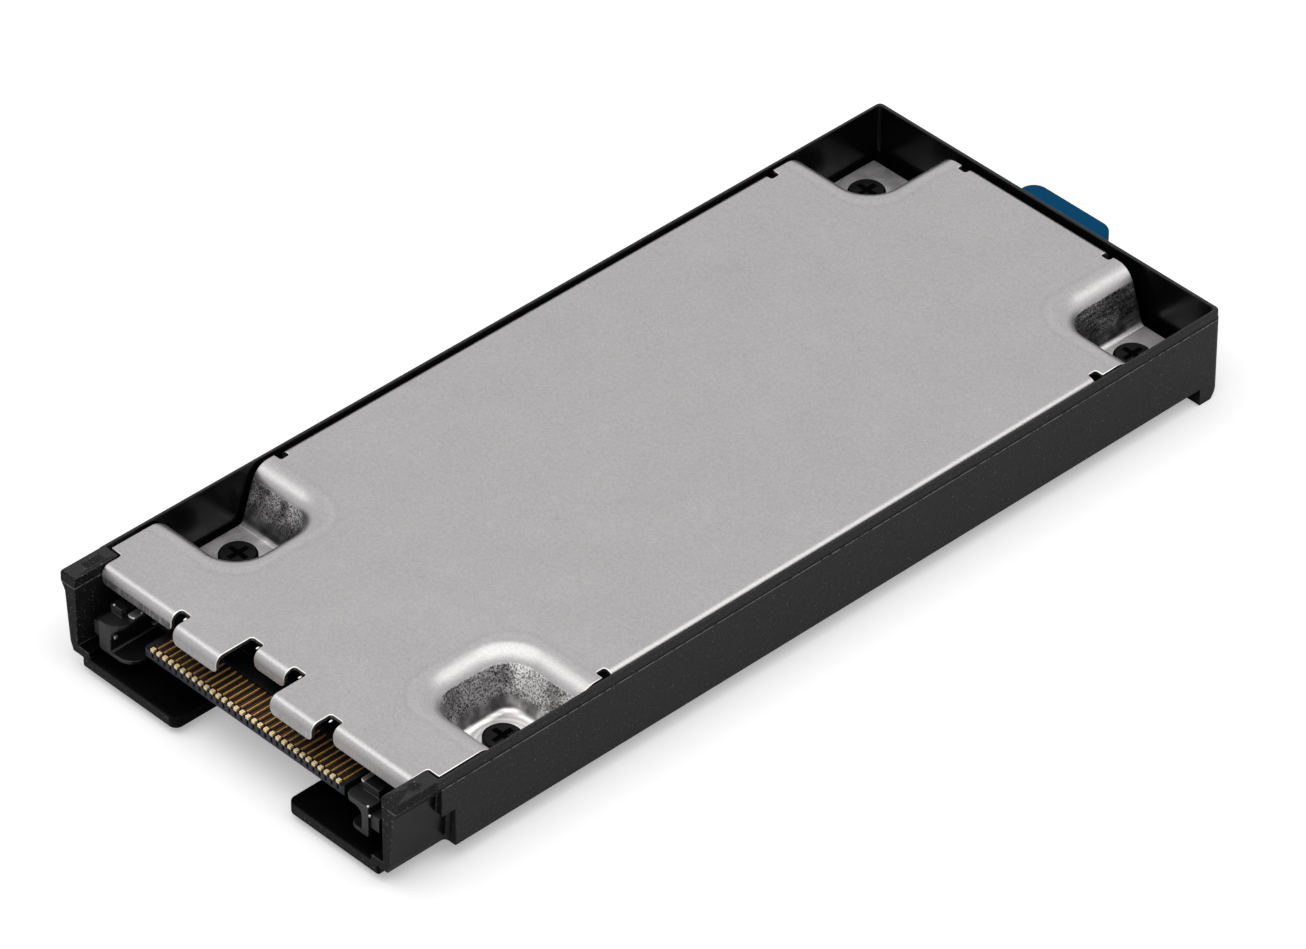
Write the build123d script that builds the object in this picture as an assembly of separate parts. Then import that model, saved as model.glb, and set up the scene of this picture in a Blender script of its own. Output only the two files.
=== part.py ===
from build123d import *
import os
from math import cos, radians, tan

# Removable solid state drive cartridge of a rugged laptop, in millimetres.
# X runs across the cartridge, Y from the connector end (y = 0) to the closing end,
# and Z up from the underside of the end lip, the lowest face. The pieces are written with
# the origin moved along Y, to below the middle of the cartridge and its finger tab.

# How far a cutting shape runs past what it cuts
overcut = 1.0

# Tray
tray_width = 53.5
tray_length = 122.5
rim_height = 12.1
floor_bottom = 0.9
floor_thickness = 1.1
wall_bottom = 2.1
ledge_thickness = 1.0
pan_width = 47.0
pan_wall = 1.1
pan_corner_radius = 0.3
rim_thickness = 0.5
end_rim_thickness = 0.6
wall_draft = 0.5
corner_radius = 0.75
inner_corner_radius = 0.5
rim_rounding = 0.25
foot_rounding = 0.35
parting_depth = 1.15
parting_step = 0.06
lip_thickness = 2.9
lip_chamfer_length = 1.1
lip_chamfer_height = 1.6

# Tray front corners: a cap over a wall that is set in
cap_height = 1.2
cap_length = 6.15
cap_set_in = 0.25
cap_trim_length = 5.6
jamb_inner_inset = 2.5
jamb_top_inset = 0.85
jamb_foot_inset = 1.35
jamb_foot_height = 1.1
jamb_foot_chamfer = 0.4
jamb_bend_drop = 1.2
jamb_cap_inset = 0.3
tab_drop = 4.8
jamb_length = 8.0
jamb_web = 1.1
jamb_fillet = 0.5
cap_mark_width = 1.2
cap_mark_length = 2.6
cap_mark_depth = 0.15
pin_mark_radius = 0.75
pin_mark_depth = 0.06
cap_mark_y = 3.6

# Cut in the tray floor below the plug
floor_cut_left = 8.45
floor_cut_right = 9.3
floor_cut_depth = 9.0
floor_cut_inner_radius = 1.5
floor_cut_nose_radius = 1.0
floor_rib_width = 0.7
floor_rib_height = 0.35

# Cover, pressed from one sheet
sheet = 0.5
cover_sink = 0.2
cover_edge_gap = 0.4
cover_flange_gap = 0.2
cover_end_gap = 1.15
cover_end_flange_gap = 0.6
cover_edge_taper = 0.6
side_bend_radius = 0.9
side_flange_drop = 2.6
side_flange_front = 31.0
side_flange_back_inset = 19.1
end_flange_half = 10.6
notch_width = 1.25
notch_past_bend = 0.1
notch_radius = 0.3
front_bend_radius = 1.1
front_flange_drop = 2.2
front_corner_radius = 0.7
cover_neck_gap = 0.1
cover_neck_length = 6.6
cover_neck_radius = 0.3
relief_rise = 0.45
relief_radius = 0.35

# Screw pockets drawn down into the cover
pocket_depth = 6.15
pocket_draft = 23.5
pocket_shoulder_radius = 2.65
pocket_floor_radius = 0.9
pocket_corner_radius = 1.7
pocket_inward = 3.8
pocket_forward = 3.5
pocket_backward = 4.4

# Cover screws and their inserts
screw_edge_inset = 5.85
front_screw_y = 20.0
rear_screw_inset = 7.8
screw_radius = 1.25
screw_length = 3.2
head_radius = 2.2
head_height = 0.95
head_chamfer = 0.2
screw_hole_clearance = 0.2
recess_length = 2.7
recess_width = 0.62
recess_depth = 0.6
recess_draft = 18
boss_radius = 3.0
insert_radius = 1.85
insert_length = 2.9
fit_clearance = 0.03

# Plug on the adapter board
board_thickness = 1.0
board_rise = 1.2
adapter_boss_gap = 0.4
adapter_front = 8.8
adapter_overhang = 5.2
adapter_corner_radius = 1.5
tongue_left_inset = 8.85
tongue_right_inset = 8.15
tongue_front = 2.0
tongue_bottom = 5.8
tongue_thickness = 1.45
tongue_chamfer = 0.2
body_front = 8.6
body_back = 13.0
body_inset = 1.05
body_top = 9.3
body_chamfer = 0.3
body_step_length = 2.2
body_step_drop = 1.3
crossbar_front = 6.2
crossbar_height = 0.5
contact_left_margin = 1.21
contact_right_margin = 0.99
contact_pitch = 0.945
contact_width = 0.5
contact_thickness = 0.22
contact_proud = 0.06
contact_gap = 0.06
tip_length = 0.55
tip_rise = 0.12
slot_width = 0.3
slot_height = 0.6
slot_depth = 0.25
ear_front = 1.2
ear_bottom = 3.5
ear_top = 7.5
ear_top_arm = 0.65
ear_low_arm = 0.5
ear_back_wall = 0.95
ear_corner = 0.25
ear_channel_radius = 0.9
ear_channel_foot_radius = 0.3
ear_rib_bottom = 4.65
ear_rib_top = 6.5
ear_rib_set_back = 0.4
ear_block_front = 3.1
ear_block_back = 5.3
ear_block_height = 1.0
clip_width = 1.1
clip_thickness = 0.35
clip_front = 3.6
clip_tail = 1.0

# Drive board in its socket
socket_width = 22.4
socket_length = 7.5
socket_height = 3.9
socket_chamfer = 0.8
socket_slot_depth = 3.6
socket_board_rise = 2.3
socket_slot_clearance = 0.08
socket_end_gap = 0.2
drive_width = 22.0
drive_length = 80.0
drive_end_inset = 10.9
drive_thickness = 0.8
drive_corner_radius = 0.3
key_x = 5.4
key_width = 1.2
key_depth = 3.5
key_clearance = 0.1
key_end_clearance = 0.3
key_root = 0.5
mount_hole_radius = 1.75
finger_count = 18
finger_pitch = 1.0
finger_width = 0.7
finger_length = 2.5
finger_inset = 0.3
finger_thickness = 0.04

# Parts on the drive board: length along Y, width and height
chip_height = 1.4
chip_chamfer = 0.15
controller_size = 14.0
controller_offset = 19.0
memory_width = 14.0
memory_first_gap = 0.85
memory_gap = 2.5
memory_end_margin = 6.5
buffer_length = 7.5
buffer_width = 9.0
buffer_offset = 30.4
power_size = 4.0
power_offset = 8.5
power_x = -6.0
capacitor_length = 1.6
capacitor_width = 0.8
capacitor_height = 0.7
capacitor_count = 5
capacitor_spacing = 1.6
pad_width = 17.0
pad_margin = 1.0

# Drive board standoff and screws
standoff_radius = 2.4
standoff_hole_radius = 1.0
standoff_floor = 0.5
small_screw_radius = 0.95
small_head_radius = 2.1
small_head_height = 0.7
small_head_chamfer = 0.15
small_screw_length = 2.4
adapter_screw_side_inset = 3.1
adapter_screw_gap = 0.5
post_radius = 2.6
adapter_rest_length = 2.0
adapter_rest_inset = 4.5
film_thickness = 0.2
film_width = 24.0
film_front_gap = 3.8
film_end_gap = 7.6

# Finger tab through the closing wall
tab_x = -0.6
tab_width = 12.9
tab_top = 9.0
tab_thickness = 2.0
tab_reach = 5.0
tab_corner_radius = 1.9
tab_rounding = 0.3
tab_slot_clearance = 0.1
tab_foot_width = 17.0
tab_foot_thickness = 1.2
tab_foot_drop = 1.4
tab_keeper_width = 3.0
tab_keeper_thickness = 1.2

# Values that follow from those above
half_width = tray_width / 2
rim_inner = half_width - rim_thickness
end_inner = tray_length - end_rim_thickness
floor_top = floor_bottom + floor_thickness
ledge_top = wall_bottom + ledge_thickness
jamb_inner = half_width - jamb_inner_inset
cover_top = rim_height - cover_sink
cover_under = cover_top - sheet
cover_half = rim_inner - cover_edge_gap
cover_neck = jamb_inner - cover_neck_gap
cover_end = end_inner - cover_end_gap
side_flange_face = rim_inner - cover_flange_gap
end_flange_face = end_inner - cover_end_flange_gap
side_flange_back = tray_length - side_flange_back_inset
seat_top = cover_top - pocket_depth
seat_under = seat_top - sheet
screw_x = half_width - screw_edge_inset
rear_screw_y = tray_length - rear_screw_inset
board_bottom = floor_top + board_rise
board_top = board_bottom + board_thickness
tongue_top = tongue_bottom + tongue_thickness
tongue_left = tongue_left_inset - jamb_inner
tongue_right = jamb_inner - tongue_right_inset
body_half_width = jamb_inner - body_inset
drive_back = tray_length - drive_end_inset
drive_front = drive_back - drive_length
socket_back = drive_front + socket_slot_depth - socket_end_gap
socket_front = socket_back - socket_length
adapter_back = socket_back + adapter_overhang
drive_bottom = board_top + socket_board_rise
drive_top = drive_bottom + drive_thickness
chip_top = drive_top + chip_height
memory_start = buffer_offset + buffer_length / 2 + memory_first_gap
memory_length = (drive_length - memory_end_margin - memory_start - memory_gap) / 2
memory_front = memory_start + memory_length / 2
memory_rear = memory_front + memory_length + memory_gap
screw_places = [(s * screw_x, y) for y in (front_screw_y, rear_screw_y) for s in (-1, 1)]
adapter_half = screw_x - boss_radius - adapter_boss_gap
adapter_screw_x = adapter_half - adapter_screw_side_inset
adapter_screw_y = socket_back + small_head_radius + adapter_screw_gap
contact_room = tongue_right - contact_right_margin - tongue_left - contact_left_margin
contact_count = 1 + round(contact_room / contact_pitch)
contact_places = [tongue_left + contact_left_margin + i * contact_pitch for i in range(contact_count)]

# Front tabs of the cover: left end, right end and the y of the front face
front_tabs = [
    (-cover_neck, -12.9, 3.7),
    (-11.3, -4.4, 2.5),
    (-2.5, 2.3, 6.1),
    (4.2, 10.7, 2.4),
    (12.6, cover_neck, 3.7),
]

# The two guide ears differ. Each row gives the side, then the nose radius of the top arm, then
# insets from the jamb: of the top arm's end, the lower arm's end, the spine's inner and outer
# face, the rib's face, the block's inner and outer face, and the clip's middle.
ears = [
    (-1, 2.0, 5.35, 7.4, 4.15, 2.25, 1.05, 3.95, 2.15, 4.65),
    (1, 1.1, 7.25, 6.55, 4.6, 3.5, 2.25, 6.25, 3.85, 6.85),
]


def block(x0, x1, y0, y1, z0, z1):
    """A box given by its limits along each axis."""
    return Pos((x0 + x1) / 2, (y0 + y1) / 2, (z0 + z1) / 2) * Box(x1 - x0, y1 - y0, z1 - z0)


def rod(x, y, z0, z1, radius):
    """An upright cylinder."""
    return Pos(x, y, (z0 + z1) / 2) * Cylinder(radius, z1 - z0)


def both_sides(shape):
    """The shape and its mirror image across the cartridge."""
    return shape + mirror(shape, about=Plane.YZ)


def upright(shape):
    return shape.edges().filter_by(Axis.Z)


def tray_outline(inset, z0, z1, y0=0.0):
    """The tray's outer block, square at the connector end and rounded at the other."""
    body = block(inset - half_width, half_width - inset, y0, tray_length - inset, z0, z1)
    return fillet(upright(body).group_by(Axis.Y)[-1], corner_radius - inset)


def tray_shell():
    """Walls, end lip and floor pan before anything is hollowed out."""
    walls = tray_outline(0, wall_bottom, rim_height)
    band = rim_height - parting_depth
    above = tray_outline(-overcut, band, rim_height + overcut, -overcut)
    walls -= above - tray_outline(parting_step, band, rim_height + overcut, -overcut)
    walls = fillet(walls.faces().sort_by(Axis.Z)[-1].edges(), rim_rounding)
    side_feet = walls.edges().filter_by(Axis.Y).group_by(Axis.Z)[0]
    walls = fillet(side_feet, foot_rounding)

    lip = tray_outline(0, 0, wall_bottom + foot_rounding)
    lip -= block(-tray_width, tray_width, -overcut, tray_length - lip_thickness, -overcut, rim_height)
    lip_edge = lip.edges().filter_by(Axis.X).group_by(Axis.Z)[0].sort_by(Axis.Y)[-1]
    lip_side = lip_edge.center()
    wedge = Plane.YZ.offset(-tray_width) * make_face(
        Polyline(
            (lip_side.Y - lip_chamfer_length, 0),
            (lip_side.Y + overcut, 0),
            (lip_side.Y + overcut, lip_chamfer_height),
            (lip_side.Y, lip_chamfer_height),
            close=True,
        )
    )
    lip -= extrude(wedge, 2 * tray_width)

    pan_back = tray_length - lip_thickness / 2
    pan = block(-pan_width / 2, pan_width / 2, 0, pan_back, floor_bottom, ledge_top)
    pan = fillet(upright(pan).group_by(Axis.Y)[0], pan_corner_radius)
    return walls + lip + pan


def tray_hollow():
    """The room inside the walls, wider towards the rim by the moulding draft."""
    foot = rim_inner - wall_draft
    back = end_inner - wall_draft
    low_front = jamb_length + jamb_web
    rim_front = cap_length + jamb_web

    def section(half, y0, y1, z):
        middle = Plane.XY.offset(z) * Pos(0, (y0 + y1) / 2)
        return middle * RectangleRounded(2 * half, y1 - y0, inner_corner_radius)

    low = section(foot, low_front, back, ledge_top)
    main = loft([low, section(rim_inner, low_front, end_inner, rim_height)])
    upper = rim_height - cap_height - tab_drop + jamb_web
    above = rim_height + overcut
    joined = low_front + overcut
    hollow = main + block(-foot, foot, rim_front, joined, upper, above)
    hollow += block(-rim_inner, rim_inner, cap_length, joined, rim_height - cap_height, above)
    hollow += block(-jamb_inner, jamb_inner, -overcut, joined, ledge_top, above)
    pan_half = pan_width / 2 - pan_wall
    pan_end = tray_length - lip_thickness - pan_wall
    hollow += block(-pan_half, pan_half, -overcut, pan_end, floor_top, ledge_top + ledge_thickness / 2)
    return hollow


def jamb_recess():
    """What is cut from the right wall's outer face beside the connector."""
    top = rim_height - cap_height
    outside = half_width + overcut
    below = wall_bottom - overcut
    face = half_width - jamb_top_inset
    foot = half_width - jamb_foot_inset
    foot_top = wall_bottom + jamb_foot_height
    profile = make_face(
        Polyline(
            (outside, top),
            (half_width - jamb_cap_inset, top),
            (face, top - jamb_bend_drop),
            (foot, foot_top),
            (foot - jamb_foot_chamfer, wall_bottom),
            (foot - jamb_foot_chamfer, below),
            (outside, below),
            close=True,
        )
    )
    recess = extrude(Plane.XZ.offset(overcut) * profile, -(jamb_length + overcut))
    inner_edge = recess.faces().sort_by(Axis.Y)[-1].edges().filter_by(GeomType.LINE)
    inner_edge = inner_edge.filter_by(Axis.X, reverse=True).sort_by(Axis.X)[:-1]
    recess = fillet(inner_edge, jamb_fillet)
    tab = block(0, outside + overcut, cap_length, jamb_length + overcut,
                top - tab_drop + jamb_web, top + overcut)
    trim = block(half_width - cap_set_in, outside, -overcut, cap_trim_length,
                 wall_bottom, rim_height + overcut)
    return recess - tab + trim


def floor_cut():
    """The opening in the floor below the plug, through to the connector end."""
    cut = block(-floor_cut_left, floor_cut_right, -overcut, floor_cut_depth, -overcut, ledge_top)
    cut = fillet(upright(cut).group_by(Axis.Y)[-1], floor_cut_inner_radius)
    return cut


def floor_ribs():
    """Low ribs that stiffen the floor beside the opening and along the connector end."""
    top = floor_top + floor_rib_height
    ribs = []
    for side, edge in ((-1, floor_cut_left), (1, floor_cut_right)):
        near = side * edge
        far = side * (edge + floor_rib_width)
        ribs.append(block(min(near, far), max(near, far), 0, floor_cut_depth, floor_top, top))
        end = side * (pan_width / 2 - pan_wall)
        ribs.append(block(min(near, end), max(near, end), 0, floor_rib_width, floor_top, top))
    return ribs


def carrier_tray():
    body = tray_shell() - tray_hollow()
    recess = jamb_recess()
    body -= [recess, mirror(recess, about=Plane.YZ)]
    for rib in floor_ribs():
        body += rib
    body -= floor_cut()
    noses = upright(body).filter_by(
        lambda e: abs(e.center().Y) < floor_rib_width / 2
        and abs(e.center().X) < pan_width / 4
        and e.center().Z < ledge_top
    )
    body = fillet(noses, floor_cut_nose_radius)

    # Marks in the caps: a shallow seat on the left, an ejector pin's print on the right
    cap_x = (half_width - cap_set_in + jamb_inner) / 2
    seat_top_z = rim_height - cap_mark_depth
    body -= block(
        -cap_x - cap_mark_width / 2, -cap_x + cap_mark_width / 2,
        cap_mark_y - cap_mark_length / 2, cap_mark_y + cap_mark_length / 2, seat_top_z, rim_height + overcut,
    )
    body -= rod(cap_x, cap_mark_y, rim_height - pin_mark_depth, rim_height + overcut, pin_mark_radius)

    # Bosses under the pockets, posts and rests under the boards, keepers of the finger tab
    embed = floor_top - floor_thickness / 2
    for x, y in screw_places:
        body += rod(x, y, embed, seat_under, boss_radius)
    for x, y in screw_places:
        hole_floor = seat_under - insert_length - fit_clearance
        body -= rod(x, y, hole_floor, seat_under + overcut, insert_radius + fit_clearance)
    for s in (-1, 1):
        body += rod(s * adapter_screw_x, adapter_screw_y, embed, board_bottom, post_radius)
        body -= rod(s * adapter_screw_x, adapter_screw_y, embed, board_bottom + overcut,
                    small_screw_radius + fit_clearance)
        rest_x = s * (adapter_half - adapter_rest_inset)
        body += block(rest_x - post_radius, rest_x + post_radius, body_back - adapter_rest_length, body_back,
                      embed, board_bottom)
    body += rod(0, drive_back, embed, board_bottom, post_radius)
    keeper_front = tab_foot_front() - tab_slot_clearance - tab_keeper_thickness
    keeper_top = tab_top - tab_thickness
    for s in (-1, 1):
        x = tab_x + s * (tab_foot_width - tab_keeper_width) / 2
        body += block(x - tab_keeper_width / 2, x + tab_keeper_width / 2, keeper_front,
                      keeper_front + tab_keeper_thickness, embed, keeper_top)
    slot_half = tab_width / 2 + tab_slot_clearance
    body -= block(tab_x - slot_half, tab_x + slot_half, tab_foot_front(), tray_length + overcut,
                  keeper_top - tab_slot_clearance, tab_top + tab_slot_clearance)
    return body


def tab_foot_front():
    """The y of the inner face of the finger tab's foot, which lies against the closing wall."""
    return end_inner - wall_draft - tab_foot_thickness - tab_slot_clearance


def pocket_cutter(x_side, y0, y1, grow):
    """A drafted pocket; grow makes it larger all round by the sheet's thickness."""
    floor_z = seat_top - grow
    edge_grow = grow * (1 / cos(radians(pocket_draft)) - tan(radians(pocket_draft)))
    inner = screw_x - pocket_inward - edge_grow
    outer = half_width + 3 * pocket_depth
    length = y1 - y0 + 2 * edge_grow
    middle = (y0 + y1) / 2
    plan = Pos((inner + outer) / 2, middle) * RectangleRounded(
        outer - inner, length, pocket_corner_radius + edge_grow
    )
    height = cover_top - floor_z + overcut
    shape = extrude(Plane.XY.offset(floor_z) * plan, height, taper=-pocket_draft)
    shape = fillet(shape.faces().sort_by(Axis.Z)[0].edges(), pocket_floor_radius + grow)
    return shape if x_side > 0 else mirror(shape, about=Plane.YZ)


def cover_form(grow):
    """The solid below the cover's upper face, or below its lower face when grow is the sheet."""
    top = cover_top - grow
    reach = half_width + pocket_depth
    solid = block(-reach, reach, -pocket_depth, tray_length + pocket_depth, seat_top - pocket_depth, top)
    far = tray_length + 4 * pocket_depth
    for side in (-1, 1):
        solid -= pocket_cutter(side, front_screw_y - pocket_forward, front_screw_y + pocket_backward, grow)
        solid -= pocket_cutter(side, rear_screw_y - pocket_forward, far, grow)
    shoulders = solid.faces().sort_by(Axis.Z)[-1].edges()
    shoulders = shoulders.filter_by(
        lambda e: abs(e.center().X) < half_width + 0.9 * pocket_depth
        and -0.9 * pocket_depth < e.center().Y < tray_length + 0.9 * pocket_depth
    )
    return fillet(shoulders, pocket_shoulder_radius - grow)


def relief(x0, x1, y_end):
    """A bend relief between two front tabs, with rounded inner corners past the bend lines."""
    slot = block(x0, x1, -overcut, y_end, cover_under - overcut, cover_top + overcut)
    return fillet(upright(slot).group_by(Axis.Y)[-1], relief_radius)


def flat_outline():
    """The upright prism that trims the cover's flat part at its cut edges and bend lines."""
    z0 = seat_under - overcut
    z1 = cover_top + overcut
    side_bend = side_flange_face - side_bend_radius
    end_bend = end_flange_face - side_bend_radius
    taper = cover_edge_taper
    low = Plane.XY.offset(seat_under) * Pos(0, (cover_end - taper) / 2)
    high = Plane.XY.offset(cover_top) * Pos(0, cover_end / 2)
    area = loft([
        low * Rectangle(2 * (cover_half - taper), cover_end - taper),
        high * Rectangle(2 * cover_half, cover_end),
    ])
    for side in (-1, 1):
        x0, x1 = sorted((side * side_bend, side * tray_width))
        area -= block(x0, x1, side_flange_front, side_flange_back, z0, z1)
        x0, x1 = sorted((side * cover_neck, side * tray_width))
        neck = block(x0, x1, -overcut, cover_neck_length, z0, z1)
        neck_edge = upright(neck).group_by(Axis.Y)[-1].sort_by(lambda e: abs(e.center().X))[0]
        area -= fillet(neck_edge, cover_neck_radius)
    area -= block(-end_flange_half, end_flange_half, end_bend, tray_length, z0, z1)
    notch_inset = notch_past_bend + notch_radius
    for y0 in (side_flange_front - notch_width, side_flange_back):
        notch = block(side_bend - notch_inset, tray_width, y0, y0 + notch_width, z0, z1)
        notch = fillet(upright(notch).group_by(Axis.X)[0], notch_radius)
        area -= [notch, mirror(notch, about=Plane.YZ)]
    notch = block(end_flange_half, end_flange_half + notch_width, end_bend - notch_inset, tray_length, z0, z1)
    notch = fillet(upright(notch).group_by(Axis.Y)[0], notch_radius)
    area -= [notch, mirror(notch, about=Plane.YZ)]

    bends = [face + front_bend_radius for _, _, face in front_tabs]
    middles = [(left[1] + right[0]) / 2 for left, right in zip(front_tabs, front_tabs[1:])]
    for x0, x1, bend in zip([-tray_width, *middles], [*middles, tray_width], bends):
        area -= block(x0, x1, -overcut, bend, z0, z1)
    for i in range(len(front_tabs) - 1):
        depth = max(bends[i], bends[i + 1]) + relief_rise
        area -= relief(front_tabs[i][1], front_tabs[i + 1][0], depth)
    return area


def bent_strip(start, outward, length, radius, drop, corner):
    """A flange bent down from the flat part; it runs on from start by length."""
    arc = radius * cos(radians(45))
    inner = radius - sheet
    inner_arc = inner * cos(radians(45))
    outline = [
        ThreePointArc((0, 0), (arc, arc - radius), (radius, -radius)),
        Line((radius, -radius), (radius, -drop)),
        Line((radius, -drop), (inner, -drop)),
        Line((inner, -drop), (inner, -radius)),
        ThreePointArc((inner, -radius), (inner_arc, inner_arc - radius), (0, -sheet)),
        Line((0, -sheet), (0, 0)),
    ]
    outward = Vector(outward)
    plane = Plane(origin=start, x_dir=outward, z_dir=outward.cross(Vector(0, 0, 1)))
    strip = extrude(plane * make_face(outline), length)
    if corner > 0:
        low = strip.edges().filter_by(Axis(start, tuple(outward))).group_by(Axis.Z)[0]
        strip = fillet(low, corner)
    return strip


def cover_plate():
    """The cover: four drawn pockets, bent flanges and tabs, with reliefs between them."""
    skin = cover_form(0) - cover_form(sheet)
    skin &= flat_outline()

    side_bend = side_flange_face - side_bend_radius
    end_bend = end_flange_face - side_bend_radius
    run = side_flange_back - side_flange_front
    skin += bent_strip((side_bend, side_flange_back, cover_top), (1, 0, 0), run,
                       side_bend_radius, side_flange_drop, front_corner_radius)
    skin += bent_strip((-side_bend, side_flange_front, cover_top), (-1, 0, 0), run,
                       side_bend_radius, side_flange_drop, front_corner_radius)
    skin += bent_strip((-end_flange_half, end_bend, cover_top), (0, 1, 0), 2 * end_flange_half,
                       side_bend_radius, side_flange_drop, front_corner_radius)
    for x0, x1, face in front_tabs:
        skin += bent_strip((x1, face + front_bend_radius, cover_top), (0, -1, 0), x1 - x0,
                           front_bend_radius, front_flange_drop, front_corner_radius)

    for x, y in screw_places:
        skin -= rod(x, y, seat_under - overcut, seat_top + overcut, screw_radius + screw_hole_clearance)
    return skin


def cross_screw(x, y, seat, radius, length, head, height, edge):
    """A flat-headed screw with a cross recess, its head's underside at seat."""
    top = Pos(x, y, seat + height / 2) * Cylinder(head, height)
    top = chamfer(top.faces().sort_by(Axis.Z)[-1].edges(), edge)
    scale = head / head_radius
    cross = Rectangle(recess_length * scale, recess_width * scale)
    cross += Rectangle(recess_width * scale, recess_length * scale)
    depth = recess_depth * height / head_height
    hollow = extrude(Pos(x, y, seat + height) * cross, -depth, taper=recess_draft)
    return top - hollow + rod(x, y, seat - length, seat, radius)


def cover_screws():
    return [
        cross_screw(x, y, seat_top, screw_radius, screw_length, head_radius, head_height, head_chamfer)
        for x, y in screw_places
    ]


def threaded_inserts():
    inserts = []
    for x, y in screw_places:
        sleeve = rod(x, y, seat_under - insert_length, seat_under, insert_radius)
        bore = rod(x, y, seat_under - insert_length - overcut, seat_under + overcut,
                   screw_radius + fit_clearance)
        inserts.append(sleeve - bore)
    return inserts


def beside(side, near, far):
    """Two insets from the jamb on the given side, as ordered x values."""
    return sorted((side * (jamb_inner - near), side * (jamb_inner - far)))


def ear(side, nose_radius, top_end, low_end, spine_inner, spine_outer, rib_face,
        block_inner, block_outer, clip):
    """A guide ear: a channel open towards the tongue, with a rib outside and a block on top."""
    middle = (ear_bottom + ear_top) / 2

    def arm(end, z0, z1):
        bar = block(*beside(side, end, spine_outer), ear_front, body_front, z0, z1)
        nose = upright(bar).group_by(Axis.Y)[0].sort_by(lambda e: abs(e.center().X))[0]
        return fillet(nose, nose_radius)

    low = arm(low_end, ear_bottom, middle)
    outer = low.edges().filter_by(Axis.Y).group_by(Axis.Z)[0].sort_by(lambda e: abs(e.center().X))[-1]
    body = arm(top_end, middle, ear_top) + chamfer(outer, ear_corner)
    channel = block(*beside(side, max(low_end, top_end) + overcut, spine_inner), ear_front - overcut,
                    body_front - ear_back_wall, ear_bottom + ear_low_arm, ear_top - ear_top_arm)
    corners = channel.edges().filter_by(Axis.Y).sort_by(lambda e: abs(e.center().X))[-2:].sort_by(Axis.Z)
    channel = fillet(corners[-1], ear_channel_radius)
    corners = channel.edges().filter_by(Axis.Y).sort_by(lambda e: abs(e.center().X) + ear_top - e.center().Z)
    body -= fillet(corners[-1], ear_channel_foot_radius)
    body += block(*beside(side, spine_outer, rib_face), ear_front + ear_rib_set_back, body_front,
                  ear_rib_bottom, ear_rib_top)
    return body + block(*beside(side, block_inner, block_outer), ear_block_front, ear_block_back,
                        ear_top, ear_top + ear_block_height)


def connector_housing():
    """Plug moulding: tongue, body and two guide ears."""
    tongue = block(tongue_left, tongue_right, tongue_front, body_front + overcut, tongue_bottom, tongue_top)
    nose = tongue.edges().filter_by(Axis.X).group_by(Axis.Y)[0]
    tongue = chamfer(nose, tongue_chamfer)
    tongue = fillet(upright(tongue).group_by(Axis.Y)[0], tongue_chamfer)
    body = block(-body_half_width, body_half_width, body_front, body_back, board_top, body_top)
    body = chamfer(body.edges().filter_by(Axis.X).group_by(Axis.Z)[-1], body_chamfer)
    step_z = body_top - body_step_drop
    step_back = body_front + body_step_length
    body -= block(tongue_left, tongue_right, body_front - overcut, step_back, step_z, body_top + overcut)
    shape = tongue + body
    shape += block(tongue_left, tongue_right, crossbar_front, body_front + overcut,
                   tongue_top - contact_thickness, tongue_top + crossbar_height)
    for values in ears:
        shape += ear(*values)

    # Grooves for the contacts, open as far as the crossbar, and slots in the tongue's front face
    cuts = ear_clips()
    floor_z = tongue_top - contact_thickness + contact_proud
    middle_z = (tongue_bottom + tongue_top) / 2
    half = contact_width / 2
    for x in contact_places:
        cuts.append(block(x - half - contact_gap / 2, x + half + contact_gap / 2, tongue_front - overcut,
                          crossbar_front, floor_z, tongue_top + overcut))
        cuts.append(block(x - half, x + half, crossbar_front - overcut, step_back,
                          floor_z, floor_z + contact_thickness))
        cuts.append(block(x - slot_width / 2, x + slot_width / 2,
                          tongue_front - overcut, tongue_front + slot_depth,
                          middle_z - slot_height / 2, middle_z + slot_height / 2))
    return shape - cuts


def contacts():
    """The contacts in the tongue's grooves, with raised tips at the tongue's front edge."""
    row = []
    half = contact_width / 2
    z0 = tongue_top - contact_thickness + contact_proud
    z1 = z0 + contact_thickness
    for x in contact_places:
        strip = block(x - half, x + half, tongue_front, body_front + body_step_length, z0, z1)
        tip = block(x - half, x + half, tongue_front, tongue_front + tip_length, z0, z1 + tip_rise)
        row.append(strip + tip)
    return row


def ear_clips():
    """Flat metal clips that lie on the ears and run back into slots of the plug's body."""
    strips = []
    for values in ears:
        x = values[0] * (jamb_inner - values[-1])
        strip = block(x - clip_width / 2, x + clip_width / 2, clip_front, body_front + clip_tail,
                      ear_top, ear_top + clip_thickness)
        strips.append(fillet(upright(strip).group_by(Axis.Y)[0], clip_width / 3))
    return strips


def adapter_board():
    board = block(-adapter_half, adapter_half, adapter_front, adapter_back, board_bottom, board_top)
    board = fillet(upright(board).group_by(Axis.Y)[-1], adapter_corner_radius)
    hole = small_screw_radius + screw_hole_clearance
    for s in (-1, 1):
        board -= rod(s * adapter_screw_x, adapter_screw_y, board_bottom - overcut, board_top + overcut, hole)
    return board


def small_screw(x, y, seat):
    return cross_screw(x, y, seat, small_screw_radius, small_screw_length, small_head_radius,
                       small_head_height, small_head_chamfer)


def adapter_screws():
    return [small_screw(s * adapter_screw_x, adapter_screw_y, board_top) for s in (-1, 1)]


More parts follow.
